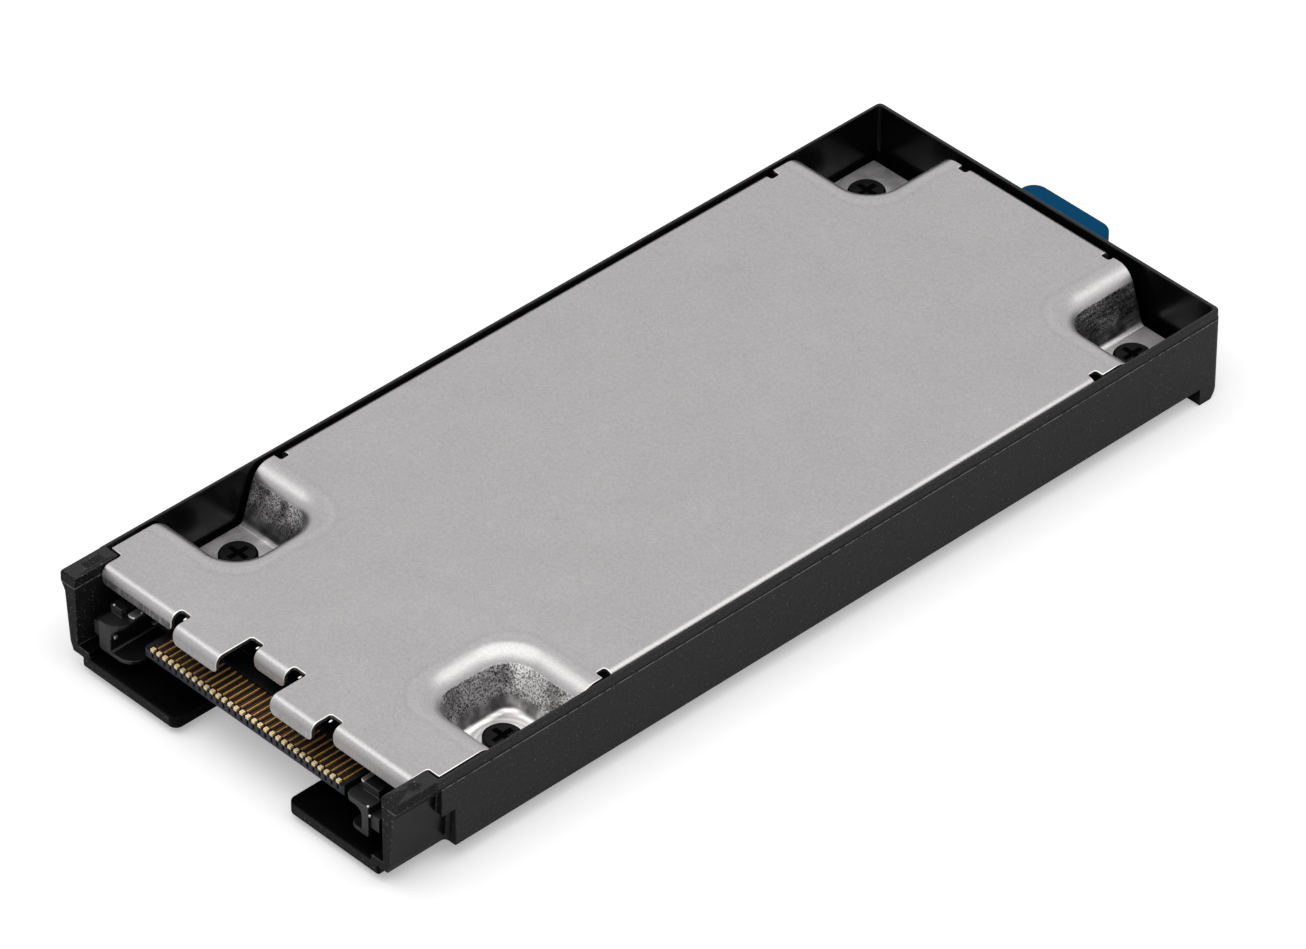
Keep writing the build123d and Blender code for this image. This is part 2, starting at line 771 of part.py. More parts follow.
def drive_socket():
    body = block(-socket_width / 2, socket_width / 2, socket_front, socket_back,
                 board_top, board_top + socket_height)
    body = chamfer(body.edges().filter_by(Axis.X).group_by(Axis.Z)[-1].sort_by(Axis.Y)[0], socket_chamfer)
    slot_half = drive_width / 2 + socket_slot_clearance
    slot = block(-slot_half, slot_half, socket_back - socket_slot_depth, socket_back + overcut,
                 drive_bottom - socket_slot_clearance, drive_top + socket_slot_clearance)
    body -= slot
    key_half = key_width / 2 - key_clearance
    key = block(key_x - key_half, key_x + key_half, socket_back - socket_slot_depth - key_root,
                drive_front + key_depth - key_end_clearance, drive_bottom - key_root, drive_top + key_root)
    return body + key


def drive_board():
    board = block(-drive_width / 2, drive_width / 2, drive_front, drive_back, drive_bottom, drive_top)
    board = fillet(upright(board), drive_corner_radius)
    board -= block(key_x - key_width / 2, key_x + key_width / 2,
                   drive_front - overcut, drive_front + key_depth,
                   drive_bottom - overcut, drive_top + overcut)
    return board - rod(0, drive_back, drive_bottom - overcut, drive_top + overcut, mount_hole_radius)


def edge_fingers():
    """Gold fingers on the drive board's upper face, either side of the key."""
    fingers = []
    for i in range(finger_count):
        x = (i - (finger_count - 1) / 2) * finger_pitch
        if abs(x - key_x) < key_width / 2 + finger_width / 2:
            continue
        front = drive_front + finger_inset
        fingers.append(block(x - finger_width / 2, x + finger_width / 2, front, front + finger_length,
                             drive_top, drive_top + finger_thickness))
    return fingers


def chip(offset, length, width, height, x=0.0):
    """A chip on the drive board; offset runs from the board's socket end to its middle."""
    y = drive_front + offset
    body = block(x - width / 2, x + width / 2, y - length / 2, y + length / 2, drive_top, drive_top + height)
    return chamfer(body.faces().sort_by(Axis.Z)[-1].edges(), chip_chamfer)


def capacitors():
    """A row of small capacitors beside the power chip."""
    row = []
    for i in range(capacitor_count):
        x = power_x + power_size / 2 + capacitor_spacing * (i + 1)
        row.append(chip(power_offset, capacitor_length, capacitor_width, capacitor_height, x))
    return row


def heat_pad():
    """The pad that carries the chips' heat into the cover."""
    y0 = drive_front + controller_offset - controller_size / 2 - pad_margin
    y1 = drive_front + memory_rear + memory_length / 2 + pad_margin
    pad = block(-pad_width / 2, pad_width / 2, y0, y1, chip_top, cover_under)
    return fillet(upright(pad), pad_margin)


def board_standoff():
    post = rod(0, drive_back, board_bottom, drive_bottom, standoff_radius)
    hole_floor = board_bottom + standoff_floor
    return post - rod(0, drive_back, hole_floor, drive_bottom + overcut, standoff_hole_radius)


def insulating_film():
    return block(-film_width / 2, film_width / 2, adapter_back + film_front_gap, drive_back - film_end_gap,
                 floor_top, floor_top + film_thickness)


def finger_tab():
    """The coloured tab: a rounded grip outside, a neck in the wall's slot and a foot inside."""
    outside = tray_length + tab_reach
    foot_front = tab_foot_front()
    grip = block(tab_x - tab_width / 2, tab_x + tab_width / 2, foot_front, outside,
                 tab_top - tab_thickness, tab_top)
    grip = fillet(upright(grip).group_by(Axis.Y)[-1], tab_corner_radius)
    grip = fillet(grip.faces().sort_by(Axis.Z)[-1].edges(), tab_rounding)
    grip = chamfer(grip.faces().sort_by(Axis.Z)[0].edges(), tab_rounding / 2)
    foot = block(tab_x - tab_foot_width / 2, tab_x + tab_foot_width / 2, foot_front,
                 foot_front + tab_foot_thickness,
                 tab_top - tab_thickness - tab_foot_drop, tab_top - tab_rounding)
    return grip + foot


nodes = {
    "carrier_tray": carrier_tray,
    "cover_plate": cover_plate,
    "cover_screws": cover_screws,
    "threaded_inserts": threaded_inserts,
    "connector_housing": connector_housing,
    "contacts": contacts,
    "ear_clips": ear_clips,
    "adapter_board": adapter_board,
    "adapter_screws": adapter_screws,
    "drive_socket": drive_socket,
    "drive_board": drive_board,
    "edge_fingers": edge_fingers,
    "controller_chip": lambda: chip(controller_offset, controller_size, controller_size, chip_height),
    "buffer_chip": lambda: chip(buffer_offset, buffer_length, buffer_width, chip_height),
    "memory_chip_front": lambda: chip(memory_front, memory_length, memory_width, chip_height),
    "memory_chip_rear": lambda: chip(memory_rear, memory_length, memory_width, chip_height),
    "power_chip": lambda: chip(power_offset, power_size, power_size, chip_height, power_x),
    "board_capacitors": capacitors,
    "heat_pad": heat_pad,
    "board_standoff": board_standoff,
    "drive_screw": lambda: small_screw(0, drive_back, drive_top),
    "insulating_film": insulating_film,
    "finger_tab": finger_tab,
}

os.makedirs("parts", exist_ok=True)
to_origin = Pos(0, -(tray_length + tab_reach) / 2, 0)
for name, make in nodes.items():
    made = make()
    if isinstance(made, list):
        made = Compound(children=[to_origin * solid for solid in made])
    else:
        made = to_origin * made
    export_step(made, f"parts/{name}.step")
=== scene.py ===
from math import cos, pi, radians, sin

import bmesh
import bpy
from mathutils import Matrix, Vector
from mathutils.bvhtree import BVHTree


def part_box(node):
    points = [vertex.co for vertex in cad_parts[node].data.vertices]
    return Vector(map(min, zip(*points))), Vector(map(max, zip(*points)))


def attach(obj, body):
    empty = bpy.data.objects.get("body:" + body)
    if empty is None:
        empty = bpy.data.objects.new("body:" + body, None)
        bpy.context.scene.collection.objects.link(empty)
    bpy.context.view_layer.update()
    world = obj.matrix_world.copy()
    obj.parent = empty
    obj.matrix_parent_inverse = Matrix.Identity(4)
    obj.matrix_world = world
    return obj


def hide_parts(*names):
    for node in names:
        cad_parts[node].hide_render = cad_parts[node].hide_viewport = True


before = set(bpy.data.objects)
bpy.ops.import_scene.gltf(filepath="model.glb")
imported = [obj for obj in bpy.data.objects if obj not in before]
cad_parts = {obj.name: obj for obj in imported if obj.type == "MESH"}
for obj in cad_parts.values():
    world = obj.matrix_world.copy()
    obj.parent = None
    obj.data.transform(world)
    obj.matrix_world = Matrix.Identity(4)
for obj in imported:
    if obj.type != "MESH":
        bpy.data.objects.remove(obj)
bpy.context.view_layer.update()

bl_info = {
    "name": "Solid State Drive Cartridge",
    "version": (1, 0, 0),
    "blender": (4, 5, 0),
    "location": "View3D > Sidebar > Cartridge",
    "description": "Dresses a laptop's slide-in drive cartridge and sets it in a small studio",
    "category": "Object",
}

MM = 0.001
# Points nearer than this are one point, and edges shorter than this vanish
WELD = 0.01 * MM
# In degrees: faces that meet at less than the first lie in one flat, edges sharper than the second are shaded
# as sharp, and edges sharper than the third are corners to round
FLAT_BELOW = 0.5
SHARP_ABOVE = 38
CORNER_ABOVE = 50


def linear(code):
    """An sRGB hex colour as linear red, green and blue."""
    parts = [int(code[i:i + 2], 16) / 255 for i in (1, 3, 5)]
    return tuple(c / 12.92 if c <= 0.04045 else ((c + 0.055) / 1.055) ** 2.4 for c in parts)


def colour(label, code, note):
    """A colour setting, its default given as an sRGB hex colour."""
    return bpy.props.FloatVectorProperty(
        name=label, description=note, subtype="COLOR", size=3, min=0, max=1, default=linear(code)
    )


def length(label, millimetres, note):
    """A length setting, its default given in millimetres."""
    return bpy.props.FloatProperty(
        name=label, description=note, subtype="DISTANCE", unit="LENGTH", min=0, precision=5,
        default=millimetres * MM,
    )


class CartridgeSizes(bpy.types.PropertyGroup):
    sheet: length("Sheet", 0.5, "Thickness of the cover's sheet")
    upper_arris: length("Upper arris", 0.1, "Rounding of the cover's upper cut edges")
    lower_arris: length("Lower arris", 0.05, "Rounding of the cover's lower cut edges")
    tray_arris: length("Tray arris", 0.1, "Rounding of the tray's moulded edges")
    plug_arris: length("Plug arris", 0.08, "Rounding of the plug's moulded edges")
    screw_arris: length("Screw arris", 0.05, "Rounding of the screws' edges")
    seat_corner: length("Seat corner", 0.6, "Rounding of the rear seats' outer corners")
    parting_depth: length("Parting depth", 1.15, "From the tray's top down to its mould parting")
    screw_head: length("Screw head", 4.4, "Width of a cover screw's head")
    pocket_inward: length("Pocket inward", 3.8, "From a cover screw's axis to its pocket's inner edge")
    pocket_forward: length("Pocket forward", 3.5, "From a cover screw's axis to its pocket's front edge")
    pocket_backward: length("Pocket backward", 4.4, "From a front screw's axis to its pocket's back edge")
    contact_width: length("Contact width", 0.47, "Width of one contact")
    contact_thickness: length("Contact thickness", 0.22, "Height of a contact's strip")
    tip_length: length("Tip length", 0.46, "Length of a contact's raised tip")
    contact_count: bpy.props.IntProperty(
        name="Contacts", description="Contacts in the plug's upper row", min=2, default=32
    )


class CartridgeColours(bpy.types.PropertyGroup):
    steel: colour("Cover steel", "#ABA9A9", "Flat of the pressed steel cover")
    # Lighter than the flat: partly burnish, partly painted highlight
    arris: colour("Cut edge", "#D2D2D1", "Burnished edges of the cover")
    sheared: colour("Sheared face", "#6E6C6B", "Face of the cover's cut")
    black: colour("Tray", "#161616", "Moulded tray")
    screw: colour("Screws", "#0C0C0D", "Black-finished screws")
    # Also painted along the tray's parting as a highlight
    fleck: colour("Flecks", "#6A6A6A", "Glass flecks of the moulded tray, and the painted highlight at its parting")
    plug: colour("Plug", "#0F0F10", "Plug moulding")
    gold: colour("Contacts", "#FFE6B8", "Gold plating on the tips")
    wiped: colour("Wiped gold", "#FFC476", "Gold where the socket has wiped it")
    # Painted dark brown as the shade that the cover casts on the strips
    strip: colour("Contact strips", "#573614", "Gold plating in the grooves")
    tongue: colour("Tongue", "#20222C", "Front edge of the plug's tongue")
    tab: colour("Finger tab", "#00476D", "Finger tab")


class StudioSettings(bpy.types.PropertyGroup):
    azimuth: bpy.props.FloatProperty(
        name="Azimuth", description="Camera's turn to the right of the connector end", subtype="ANGLE",
        default=radians(46.485),
    )
    elevation: bpy.props.FloatProperty(
        name="Elevation", description="Camera's height above the horizon", subtype="ANGLE",
        default=radians(38.4975),
    )
    lens: bpy.props.FloatProperty(
        name="Lens", description="Focal length in millimetres", default=242.62
    )
    sky: bpy.props.FloatProperty(
        name="Sky", description="Strength of the plain world light", min=0, default=0.2
    )
    lamp: bpy.props.FloatProperty(
        name="Lamp", description="Power in watts of the soft box overhead", min=0, default=5.8
    )


def sizes():
    return bpy.context.scene.cartridge_sizes


def colours():
    return bpy.context.scene.cartridge_colours


def studio():
    return bpy.context.scene.cartridge_studio


# Materials. A Mix node's inputs go by number: 0 is its factor, 2 and 3 are its numbers, 6 and 7 its colours, and
# output 2 is the mixed colour

def add_node(tree, kind, inputs=(), **settings):
    """Add a node with its settings, and fill its inputs with values or with links from nodes or sockets."""
    node = tree.nodes.new("ShaderNode" + kind)
    for key, value in settings.items():
        setattr(node, key, value)
    for key, value in inputs.items() if isinstance(inputs, dict) else enumerate(inputs):
        if isinstance(value, bpy.types.Node):
            value = next(out for out in value.outputs if out.enabled)
        if isinstance(value, bpy.types.NodeSocket):
            tree.links.new(value, node.inputs[key])
        else:
            node.inputs[key].default_value = value
    return node


def per_metre(millimetres):
    """A pattern's scale from the real size of one grain, thread or pit."""
    return 1 / (millimetres * MM)


def shade(rgb, amount):
    """The colour made darker or lighter by a factor."""
    return tuple(min(1, c * amount) for c in rgb)


def start_finish(name, **shader):
    """A material with its Principled shader and the piece's own coordinates."""
    material = bpy.data.materials.new(name)
    material.use_nodes = True
    tree = material.node_tree
    surface = tree.nodes["Principled BSDF"]
    for key, value in shader.items():
        surface.inputs[key.replace("_", " ")].default_value = value
    place = add_node(tree, "TexCoord").outputs["Object"]
    return material, tree, surface, place


def speckled(name, base, grain_size, contrast, bump_height, **shader):
    """A finish with an even speckle: grain size and bump in millimetres."""
    material, tree, surface, place = start_finish(name, **shader)
    grain = add_node(tree, "TexNoise", {"Vector": place, "Scale": per_metre(grain_size), "Detail": 2})
    dark, light = (*shade(base, 1 - contrast), 1), (*shade(base, 1 + contrast), 1)
    tint = add_node(tree, "Mix", {0: grain, 6: dark, 7: light}, data_type="RGBA")
    tree.links.new(tint.outputs[2], surface.inputs["Base Color"])
    bump = add_node(tree, "Bump", {"Strength": 0.5, "Distance": bump_height * MM, "Height": grain})
    tree.links.new(bump.outputs[0], surface.inputs["Normal"])
    return material


def screw_centres():
    """How far the cover screws stand from the middle, and the y of the front and the rear pair."""
    low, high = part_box("cover_screws")
    half = sizes().screw_head / 2
    return high.x - half, low.y + half, high.y - half


def pocket_distance(tree, x, y):
    """How far a point lies, in plan, from the floor of the nearest screw pocket."""
    size = sizes()
    out, front, rear = screw_centres()
    middle = front + (size.pocket_backward - size.pocket_forward) / 2
    half = (size.pocket_backward + size.pocket_forward) / 2
    aside = add_node(tree, "Math", [x], operation="ABSOLUTE")
    across = add_node(tree, "Math", (out - size.pocket_inward, aside), operation="SUBTRACT")
    from_front = add_node(tree, "Math", (y, middle), operation="SUBTRACT")
    from_front = add_node(tree, "Math", [from_front], operation="ABSOLUTE")
    from_front = add_node(tree, "Math", (from_front, half), operation="SUBTRACT")
    from_rear = add_node(tree, "Math", (rear - size.pocket_forward, y), operation="SUBTRACT")
    along = add_node(tree, "Math", (from_front, from_rear), operation="MINIMUM")
    beyond = add_node(tree, "CombineXYZ", (across, along))
    beyond = add_node(tree, "VectorMath", (beyond, (0, 0, 0)), operation="MAXIMUM")
    return add_node(tree, "VectorMath", [beyond], operation="LENGTH")


def screw_distance(tree, x, y):
    """How far a point lies, in plan, from the nearest cover screw's axis."""
    out, front, rear = screw_centres()
    aside = add_node(tree, "Math", [x], operation="ABSOLUTE")
    across = add_node(tree, "Math", (aside, out), operation="SUBTRACT")
    along = []
    for pair in (front, rear):
        ahead = add_node(tree, "Math", (y, pair), operation="SUBTRACT")
        along.append(add_node(tree, "Math", [ahead], operation="ABSOLUTE"))
    nearest = add_node(tree, "Math", along, operation="MINIMUM")
    plan = add_node(tree, "CombineXYZ", (across, nearest))
    return add_node(tree, "VectorMath", [plan], operation="LENGTH")


def pressed_steel():
    """Cold-rolled zinc-coated steel, pressed. Satin with an even fine grain on the flat, speckled as if blasted
    where the draw has stretched it into the pockets' walls, which are painted darker as shade, the rear ones
    darker still, with a painted highlight on the right-hand pockets' shoulders and on the front-right pocket's
    wall, brighter where the screw seats were struck, streaked on the faces of the front tabs and painted darker
    on the left one as shade, with painted shade in the left pockets' fillets, and with a faint ring round each
    pocket where the blank holder has pressed, painted as a band of light and a band of shade."""
    base = colours().steel
    # Millimetres: how far the rings wander, and from one arc to the next
    ring_wander, arc_spacing = 0.9, 0.7
    # How much of the flat's mottle is cloud, the rest being grain, and its darkest and lightest share
    cloud_share, darkest, lightest = 0.22, 0.72, 1.28
    # The speckled walls' relief against the flat's
    wall_relief = 12.0
    material, tree, surface, place = start_finish("Satin pressed steel", Metallic=1.0)
    x, y, z = add_node(tree, "SeparateXYZ", [place]).outputs
    normal = add_node(tree, "TexCoord").outputs["Normal"]
    facing = add_node(tree, "SeparateXYZ", [normal]).outputs["Y"]

    # Each pattern: the size of a grain in millimetres, its detail and roughness, and its frequency along each
    # axis. The sheet's own grain is 0.14 mm, drawn at 0.24 mm so that it shows
    patterns = {
        "grain": (0.24, 2, 0.5, (1, 1, 1)),
        "cloud": (7, 5, 0.5, (1, 1, 1)),
        "blast": (0.2, 2, 0.8, (1, 1, 1)),
        "patch": (2.4, 2, 0.5, (1, 1, 1)),
        "wander": (11, 2, 0.5, (1, 1, 1)),
        "where": (6, 1, 0.5, (1, 1, 1)),
        "streak": (0.3, 2, 0.5, (1, 1, 0.12)),
        "scrape": (0.3, 3, 0.7, (1, 0.1, 1)),
        "panel": (1.5, 1, 0.5, (1, 1, 0.15)),
    }
    for name, (grain_size, detail, roughness, stretch) in patterns.items():
        spot = add_node(tree, "Mapping", {"Vector": place, "Scale": stretch})
        patterns[name] = add_node(tree, "TexNoise", {
            "Vector": spot, "Scale": per_metre(grain_size), "Detail": detail, "Roughness": roughness,
        })

    # Rings round the pockets wander a little, and arcs run round the screws where the seats were struck
    wavy = add_node(tree, "Math", (patterns["cloud"], ring_wander * MM), operation="MULTIPLY")
    away = add_node(tree, "Math", (pocket_distance(tree, x, y), wavy), operation="ADD")
    turns = 2 * pi / (arc_spacing * MM)
    turns = add_node(tree, "Math", (screw_distance(tree, x, y), turns), operation="MULTIPLY")
    patterns["arc"] = add_node(tree, "Math", [turns], operation="SINE")
    # Hairline scratches, 0.05 mm on the real sheet and drawn at about 0.12 mm
    line = add_node(tree, "Math", (patterns["wander"], 0.5), operation="SUBTRACT")
    line = add_node(tree, "Math", [line], operation="ABSOLUTE")

    # Each mask: what it reads, and the values between which it rises from 0 to 1. Heights are over the part's
    # lowest point, and y runs from the plug's end to the closing end
    masks = {
        # Along the part and across it
        "behind": (y, -57 * MM, -56 * MM),
        "front": (y, -56 * MM, -57 * MM),
        "ahead": (y, 10 * MM, 0.0),
        "rear": (y, 20 * MM, 30 * MM),
        "left": (x, 0.0, -2 * MM),
        "right": (x, 0.0, 2 * MM),
        "shaded_left_tab": (x, -11.9 * MM, -12.3 * MM),
        # By height, from the flat down to the seats
        "shoulder": (z, 11.7 * MM, 11.1 * MM),
        "bends": (z, 11.5 * MM, 11.4 * MM),
        "tab_face": (z, 10.9 * MM, 10.6 * MM),
        "drawn": (z, 10.6 * MM, 10.4 * MM),
        "high": (z, 6.9 * MM, 7.7 * MM),
        "low": (z, 7.7 * MM, 7.3 * MM),
        "fillet": (z, 6.9 * MM, 6.5 * MM),
        "above_seat": (z, 5.9 * MM, 6.2 * MM),
        "seat": (z, 6.2 * MM, 5.9 * MM),
        "off_floor": (z, 5.77 * MM, 5.82 * MM),
        # By the distance from a pocket's floor, in plan: a band of painted light and, just outside it, a band of
        # painted shade, which stand for the light and shade on the faint ridge round each pocket
        "ring_light": (away, 4.0 * MM, 4.6 * MM),
        "inner_end": (away, 5.5 * MM, 4.9 * MM),
        "ring_shade": (away, 5.0 * MM, 5.4 * MM),
        "outer_end": (away, 6.0 * MM, 5.6 * MM),
        # The scratches, where they lie, and faces turned to the plug's end
        "line": (line, 0.0022, 0.0),
        "somewhere": (patterns["where"], 0.5, 0.56),
        "facing": (facing, -0.5, -0.8),
    }
    for name, (value, start, end) in masks.items():
        masks[name] = add_node(tree, "MapRange", (value, start, end), interpolation_type="SMOOTHSTEP")
    # Masks that hold only where several hold; each may use those above it
    joined = {
        # Painted highlight: the right-hand pockets' shoulders, lightened where the light catches them
        "shoulder": ("shoulder", "behind", "right"),
        "wall": ("drawn", "above_seat", "behind"),
        "high": ("wall", "high"),
        "low": ("wall", "low"),
        "rear_wall": ("wall", "rear"),
        "left_wall": ("high", "left"),
        "lit_wall": ("wall", "right", "ahead", "facing"),
        # Painted shade: the fillet at the foot of the left pockets' walls, darkened by half
        "shaded_fillet": ("fillet", "off_floor", "behind", "left"),
        "seat": ("seat", "behind"),
        "struck_seat": ("seat", "right", "ahead"),
        "left_seat": ("seat", "left"),
        "tab_face": ("tab_face", "front"),
        "shaded_left_tab": ("tab_face", "shaded_left_tab"),
        "bends": ("bends", "front"),
        "ring_light": ("ring_light", "inner_end"),
        "ring_shade": ("ring_shade", "outer_end"),
        "scratch": ("line", "somewhere"),
    }
    for name, (first, *others) in joined.items():
        mask = masks[first]
        for other in others:
            mask = add_node(tree, "Math", (mask, masks[other]), operation="MULTIPLY")
        masks[name] = mask

    # Where a mask holds, the colour is multiplied by a pattern: the mask, the pattern, the pattern's own range
    # that is used, and the shares to which that range is drawn out
    layers = (
        ("high", "blast", 0.4, 0.6, 0.2, 2.2),
        # Painted shade: the pockets' walls are darkened, the rear ones more and with streaks; the front-right
        # pocket's wall that faces the plug's end is lightened as painted highlight
        ("wall", "patch", 0.42, 0.58, 0.34, 0.68),
        ("lit_wall", "patch", 0.35, 0.65, 1.5, 2.3),
        ("low", "panel", 0.4, 0.6, 0.8, 1.5),
        ("rear_wall", "scrape", 0.38, 0.62, 0.25, 0.85),
        ("left_wall", "patch", 0.4, 0.6, 1.1, 1.7),
        ("seat", "patch", 0.3, 0.7, 0.95, 1.35),
        ("struck_seat", "arc", -1.0, 1.0, 0.95, 1.3),
        ("left_seat", "patch", 0.4, 0.6, 1.05, 1.25),
        ("tab_face", "streak", 0.3, 0.7, 1.0, 1.2),
        # Painted shade: the left tab's face is darkened, along its streaks
        ("shaded_left_tab", "streak", 0.35, 0.65, 0.2, 0.6),
    )
    lift = 1.0
    for mask, pattern, low, high, start, end in layers:
        share = add_node(tree, "MapRange", (patterns[pattern], low, high, start, end))
        share = add_node(tree, "Mix", {0: masks[mask], 2: 1.0, 3: share})
        lift = add_node(tree, "Math", (lift, share), operation="MULTIPLY")
    # Marks without a pattern, each with its share of the colour: a painted highlight on the right-hand pockets'
    # shoulders, painted shade in the left pockets' fillets, the painted light and shade of the ring round each
    # pocket, and the scratches
    marks = {"shoulder": 1.1, "shaded_fillet": 0.5, "ring_light": 1.05, "ring_shade": 0.96, "scratch": 0.88}
    for mask, end in marks.items():
        share = add_node(tree, "MapRange", (masks[mask], 0.0, 1.0, 1.0, end))
        lift = add_node(tree, "Math", (lift, share), operation="MULTIPLY")
    mottle = add_node(tree, "Mix", {0: cloud_share, 2: patterns["grain"], 3: patterns["cloud"]})
    dark, light = (*shade(base, darkest), 1), (*shade(base, lightest), 1)
    tint = add_node(tree, "Mix", {0: mottle, 6: dark, 7: light}, data_type="RGBA")
    final = add_node(tree, "VectorMath", (tint, lift), operation="MULTIPLY")
    tree.links.new(final.outputs[0], surface.inputs["Base Color"])

    # The flat's roughness, and that of each zone that differs
    rough = 0.33
    for mask, end in {"shoulder": 0.42, "wall": 0.45, "seat": 0.42, "bends": 0.56}.items():
        rough = add_node(tree, "Mix", {0: masks[mask], 2: rough, 3: end})
    tree.links.new(rough.outputs[0], surface.inputs["Roughness"])
    rugged = add_node(tree, "Math", (patterns["blast"], wall_relief), operation="MULTIPLY")
    height = add_node(tree, "Mix", {0: masks["high"], 2: patterns["grain"], 3: rugged})
    bump = add_node(tree, "Bump", {"Strength": 0.4, "Distance": 0.008 * MM, "Height": height})
    tree.links.new(bump.outputs[0], surface.inputs["Normal"])
    return material


def sheared_steel():
    """The cut through the sheet: torn, dark and dull, with upright streaks."""
    base = colours().sheared
    material, tree, surface, place = start_finish("Sheared steel", Metallic=1.0, Roughness=0.5)
    streak = add_node(tree, "Mapping", {"Vector": place, "Scale": (1, 1, 0.15)})
    grain = add_node(tree, "TexNoise", {"Vector": streak, "Scale": per_metre(0.1)})
    dark, light = (*shade(base, 0.7), 1), (*shade(base, 1.2), 1)
    tint = add_node(tree, "Mix", {0: grain, 6: dark, 7: light}, data_type="RGBA")
    tree.links.new(tint.outputs[2], surface.inputs["Base Color"])
    bump = add_node(tree, "Bump", {"Strength": 0.4, "Distance": 0.01 * MM, "Height": grain})
    tree.links.new(bump.outputs[0], surface.inputs["Normal"])
    return material


def burnished_edge():
    """The sheet's edges, rubbed bright by the press and painted lighter still as the highlight that their
    rounding catches, the lower edges too, with small nicks.
    """
    return speckled("Burnished steel edge with painted highlight", colours().arris, 0.5, 0.15, 0.003, Metallic=1.0, Roughness=0.3)


def nylon(name, base, edge, worn, **shader):
    """Black glass-filled nylon from a spark-eroded mould: matte, with a fine even grain and a few pale flecks
    of glass, more where it is worn, and a thin pale dotted line just under the mould's parting, a painted
    highlight for the light that the parting's small ledge catches."""
    # Millimetres: how far the painted highlight lies under the parting, and its half width with and without its
    # soft edge
    glint_depth, glint_reach, glint_core = 0.14, 0.12, 0.05
    # Between these values the noise turns from nylon to glass, and from a gap in the painted highlight to
    # highlight
    glass_from, glass_full = 0.7 - worn, 0.78 - worn
    glint_from, glint_full = 0.36, 0.52
    material, tree, surface, place = start_finish(name, IOR=1.53, **shader)
    z = add_node(tree, "SeparateXYZ", [place]).outputs["Z"]
    # The spark texture: 0.1 mm on the real nylon, drawn at 0.24 mm so that it shows
    grain = add_node(tree, "TexNoise", {"Vector": place, "Scale": per_metre(0.24), "Detail": 2})
    dark, light = (*shade(base, 0.1), 1), (*shade(base, 2.3), 1)
    tint = add_node(tree, "Mix", {0: grain, 6: dark, 7: light}, data_type="RGBA")
    # Glass flecks: 0.02 mm in the real nylon, drawn at 0.2 mm so that they show
    fleck = add_node(tree, "TexNoise", {"Vector": place, "Scale": per_metre(0.2), "Detail": 1})
    fleck = add_node(tree, "MapRange", (fleck, glass_from, glass_full))
    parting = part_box("carrier_tray")[1].z - sizes().parting_depth
    line = add_node(tree, "Math", (z, parting - glint_depth * MM), operation="SUBTRACT")
    line = add_node(tree, "Math", [line], operation="ABSOLUTE")
    line = add_node(tree, "MapRange", (line, glint_reach * MM, glint_core * MM))
    dots = add_node(tree, "TexNoise", {"Vector": place, "Scale": per_metre(0.5), "Detail": 2})
    dots = add_node(tree, "MapRange", (dots, glint_from, glint_full))
    line = add_node(tree, "Math", (line, dots), operation="MULTIPLY")
    pale = add_node(tree, "Math", (fleck, line), operation="MAXIMUM")
    tint = add_node(tree, "Mix", {0: pale, 6: tint, 7: (*edge, 1)}, data_type="RGBA")
    tree.links.new(tint.outputs[2], surface.inputs["Base Color"])
    bump = add_node(tree, "Bump", {"Strength": 1.0, "Distance": 0.05 * MM, "Height": grain})
    tree.links.new(bump.outputs[0], surface.inputs["Normal"])
    return material


# Meshes

def merged_copy(node):
    """A bmesh copy of a CAD node, its loose triangles merged and its flats made whole."""
    bm = bmesh.new()
    bm.from_mesh(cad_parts[node].data)
    bmesh.ops.remove_doubles(bm, verts=bm.verts, dist=WELD)
    bmesh.ops.dissolve_degenerate(bm, edges=bm.edges, dist=WELD)
    bmesh.ops.dissolve_limit(
        bm, angle_limit=radians(FLAT_BELOW), verts=bm.verts, edges=bm.edges, delimit={"NORMAL"}
    )
    bmesh.ops.recalc_face_normals(bm, faces=bm.faces)
    return bm


def sharp_edges(bm, angle, skip=(), near=0.0):
    """Edges sharper than the angle, without those near the points where small forms run together."""
    edges = [e for e in bm.edges if len(e.link_faces) == 2 and e.calc_face_angle(0) > radians(angle)]
    return [e for e in edges if not any((v.co - p).length < near for v in e.verts for p in skip)]


def round_edges(bm, edges, width, segments=2, material=-1):
    """Round the edges; the new faces take the material of their neighbours unless one is given."""
    bmesh.ops.bevel(
        bm, geom=edges, offset=width, offset_type="OFFSET", segments=segments, profile=0.5, affect="EDGES",
        clamp_overlap=False, material=material,
    )


def finish_piece(bm, name, materials, nodes=()):
    """Turn the bmesh into a smooth-shaded object that rides on the part and stands for its nodes."""
    mesh = bpy.data.meshes.new(name)
    bm.to_mesh(mesh)
    bm.free()
    for material in materials:
        mesh.materials.append(material)
    mesh.shade_smooth()
    mesh.set_sharp_from_angle(angle=radians(SHARP_ABOVE))
    piece = bpy.data.objects.new(name, mesh)
    bpy.context.scene.collection.objects.link(piece)
    weighted = piece.modifiers.new("Weighted normals", "WEIGHTED_NORMAL")
    weighted.keep_sharp = True
    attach(piece, "root")
    if nodes:
        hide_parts(*nodes)
    return piece


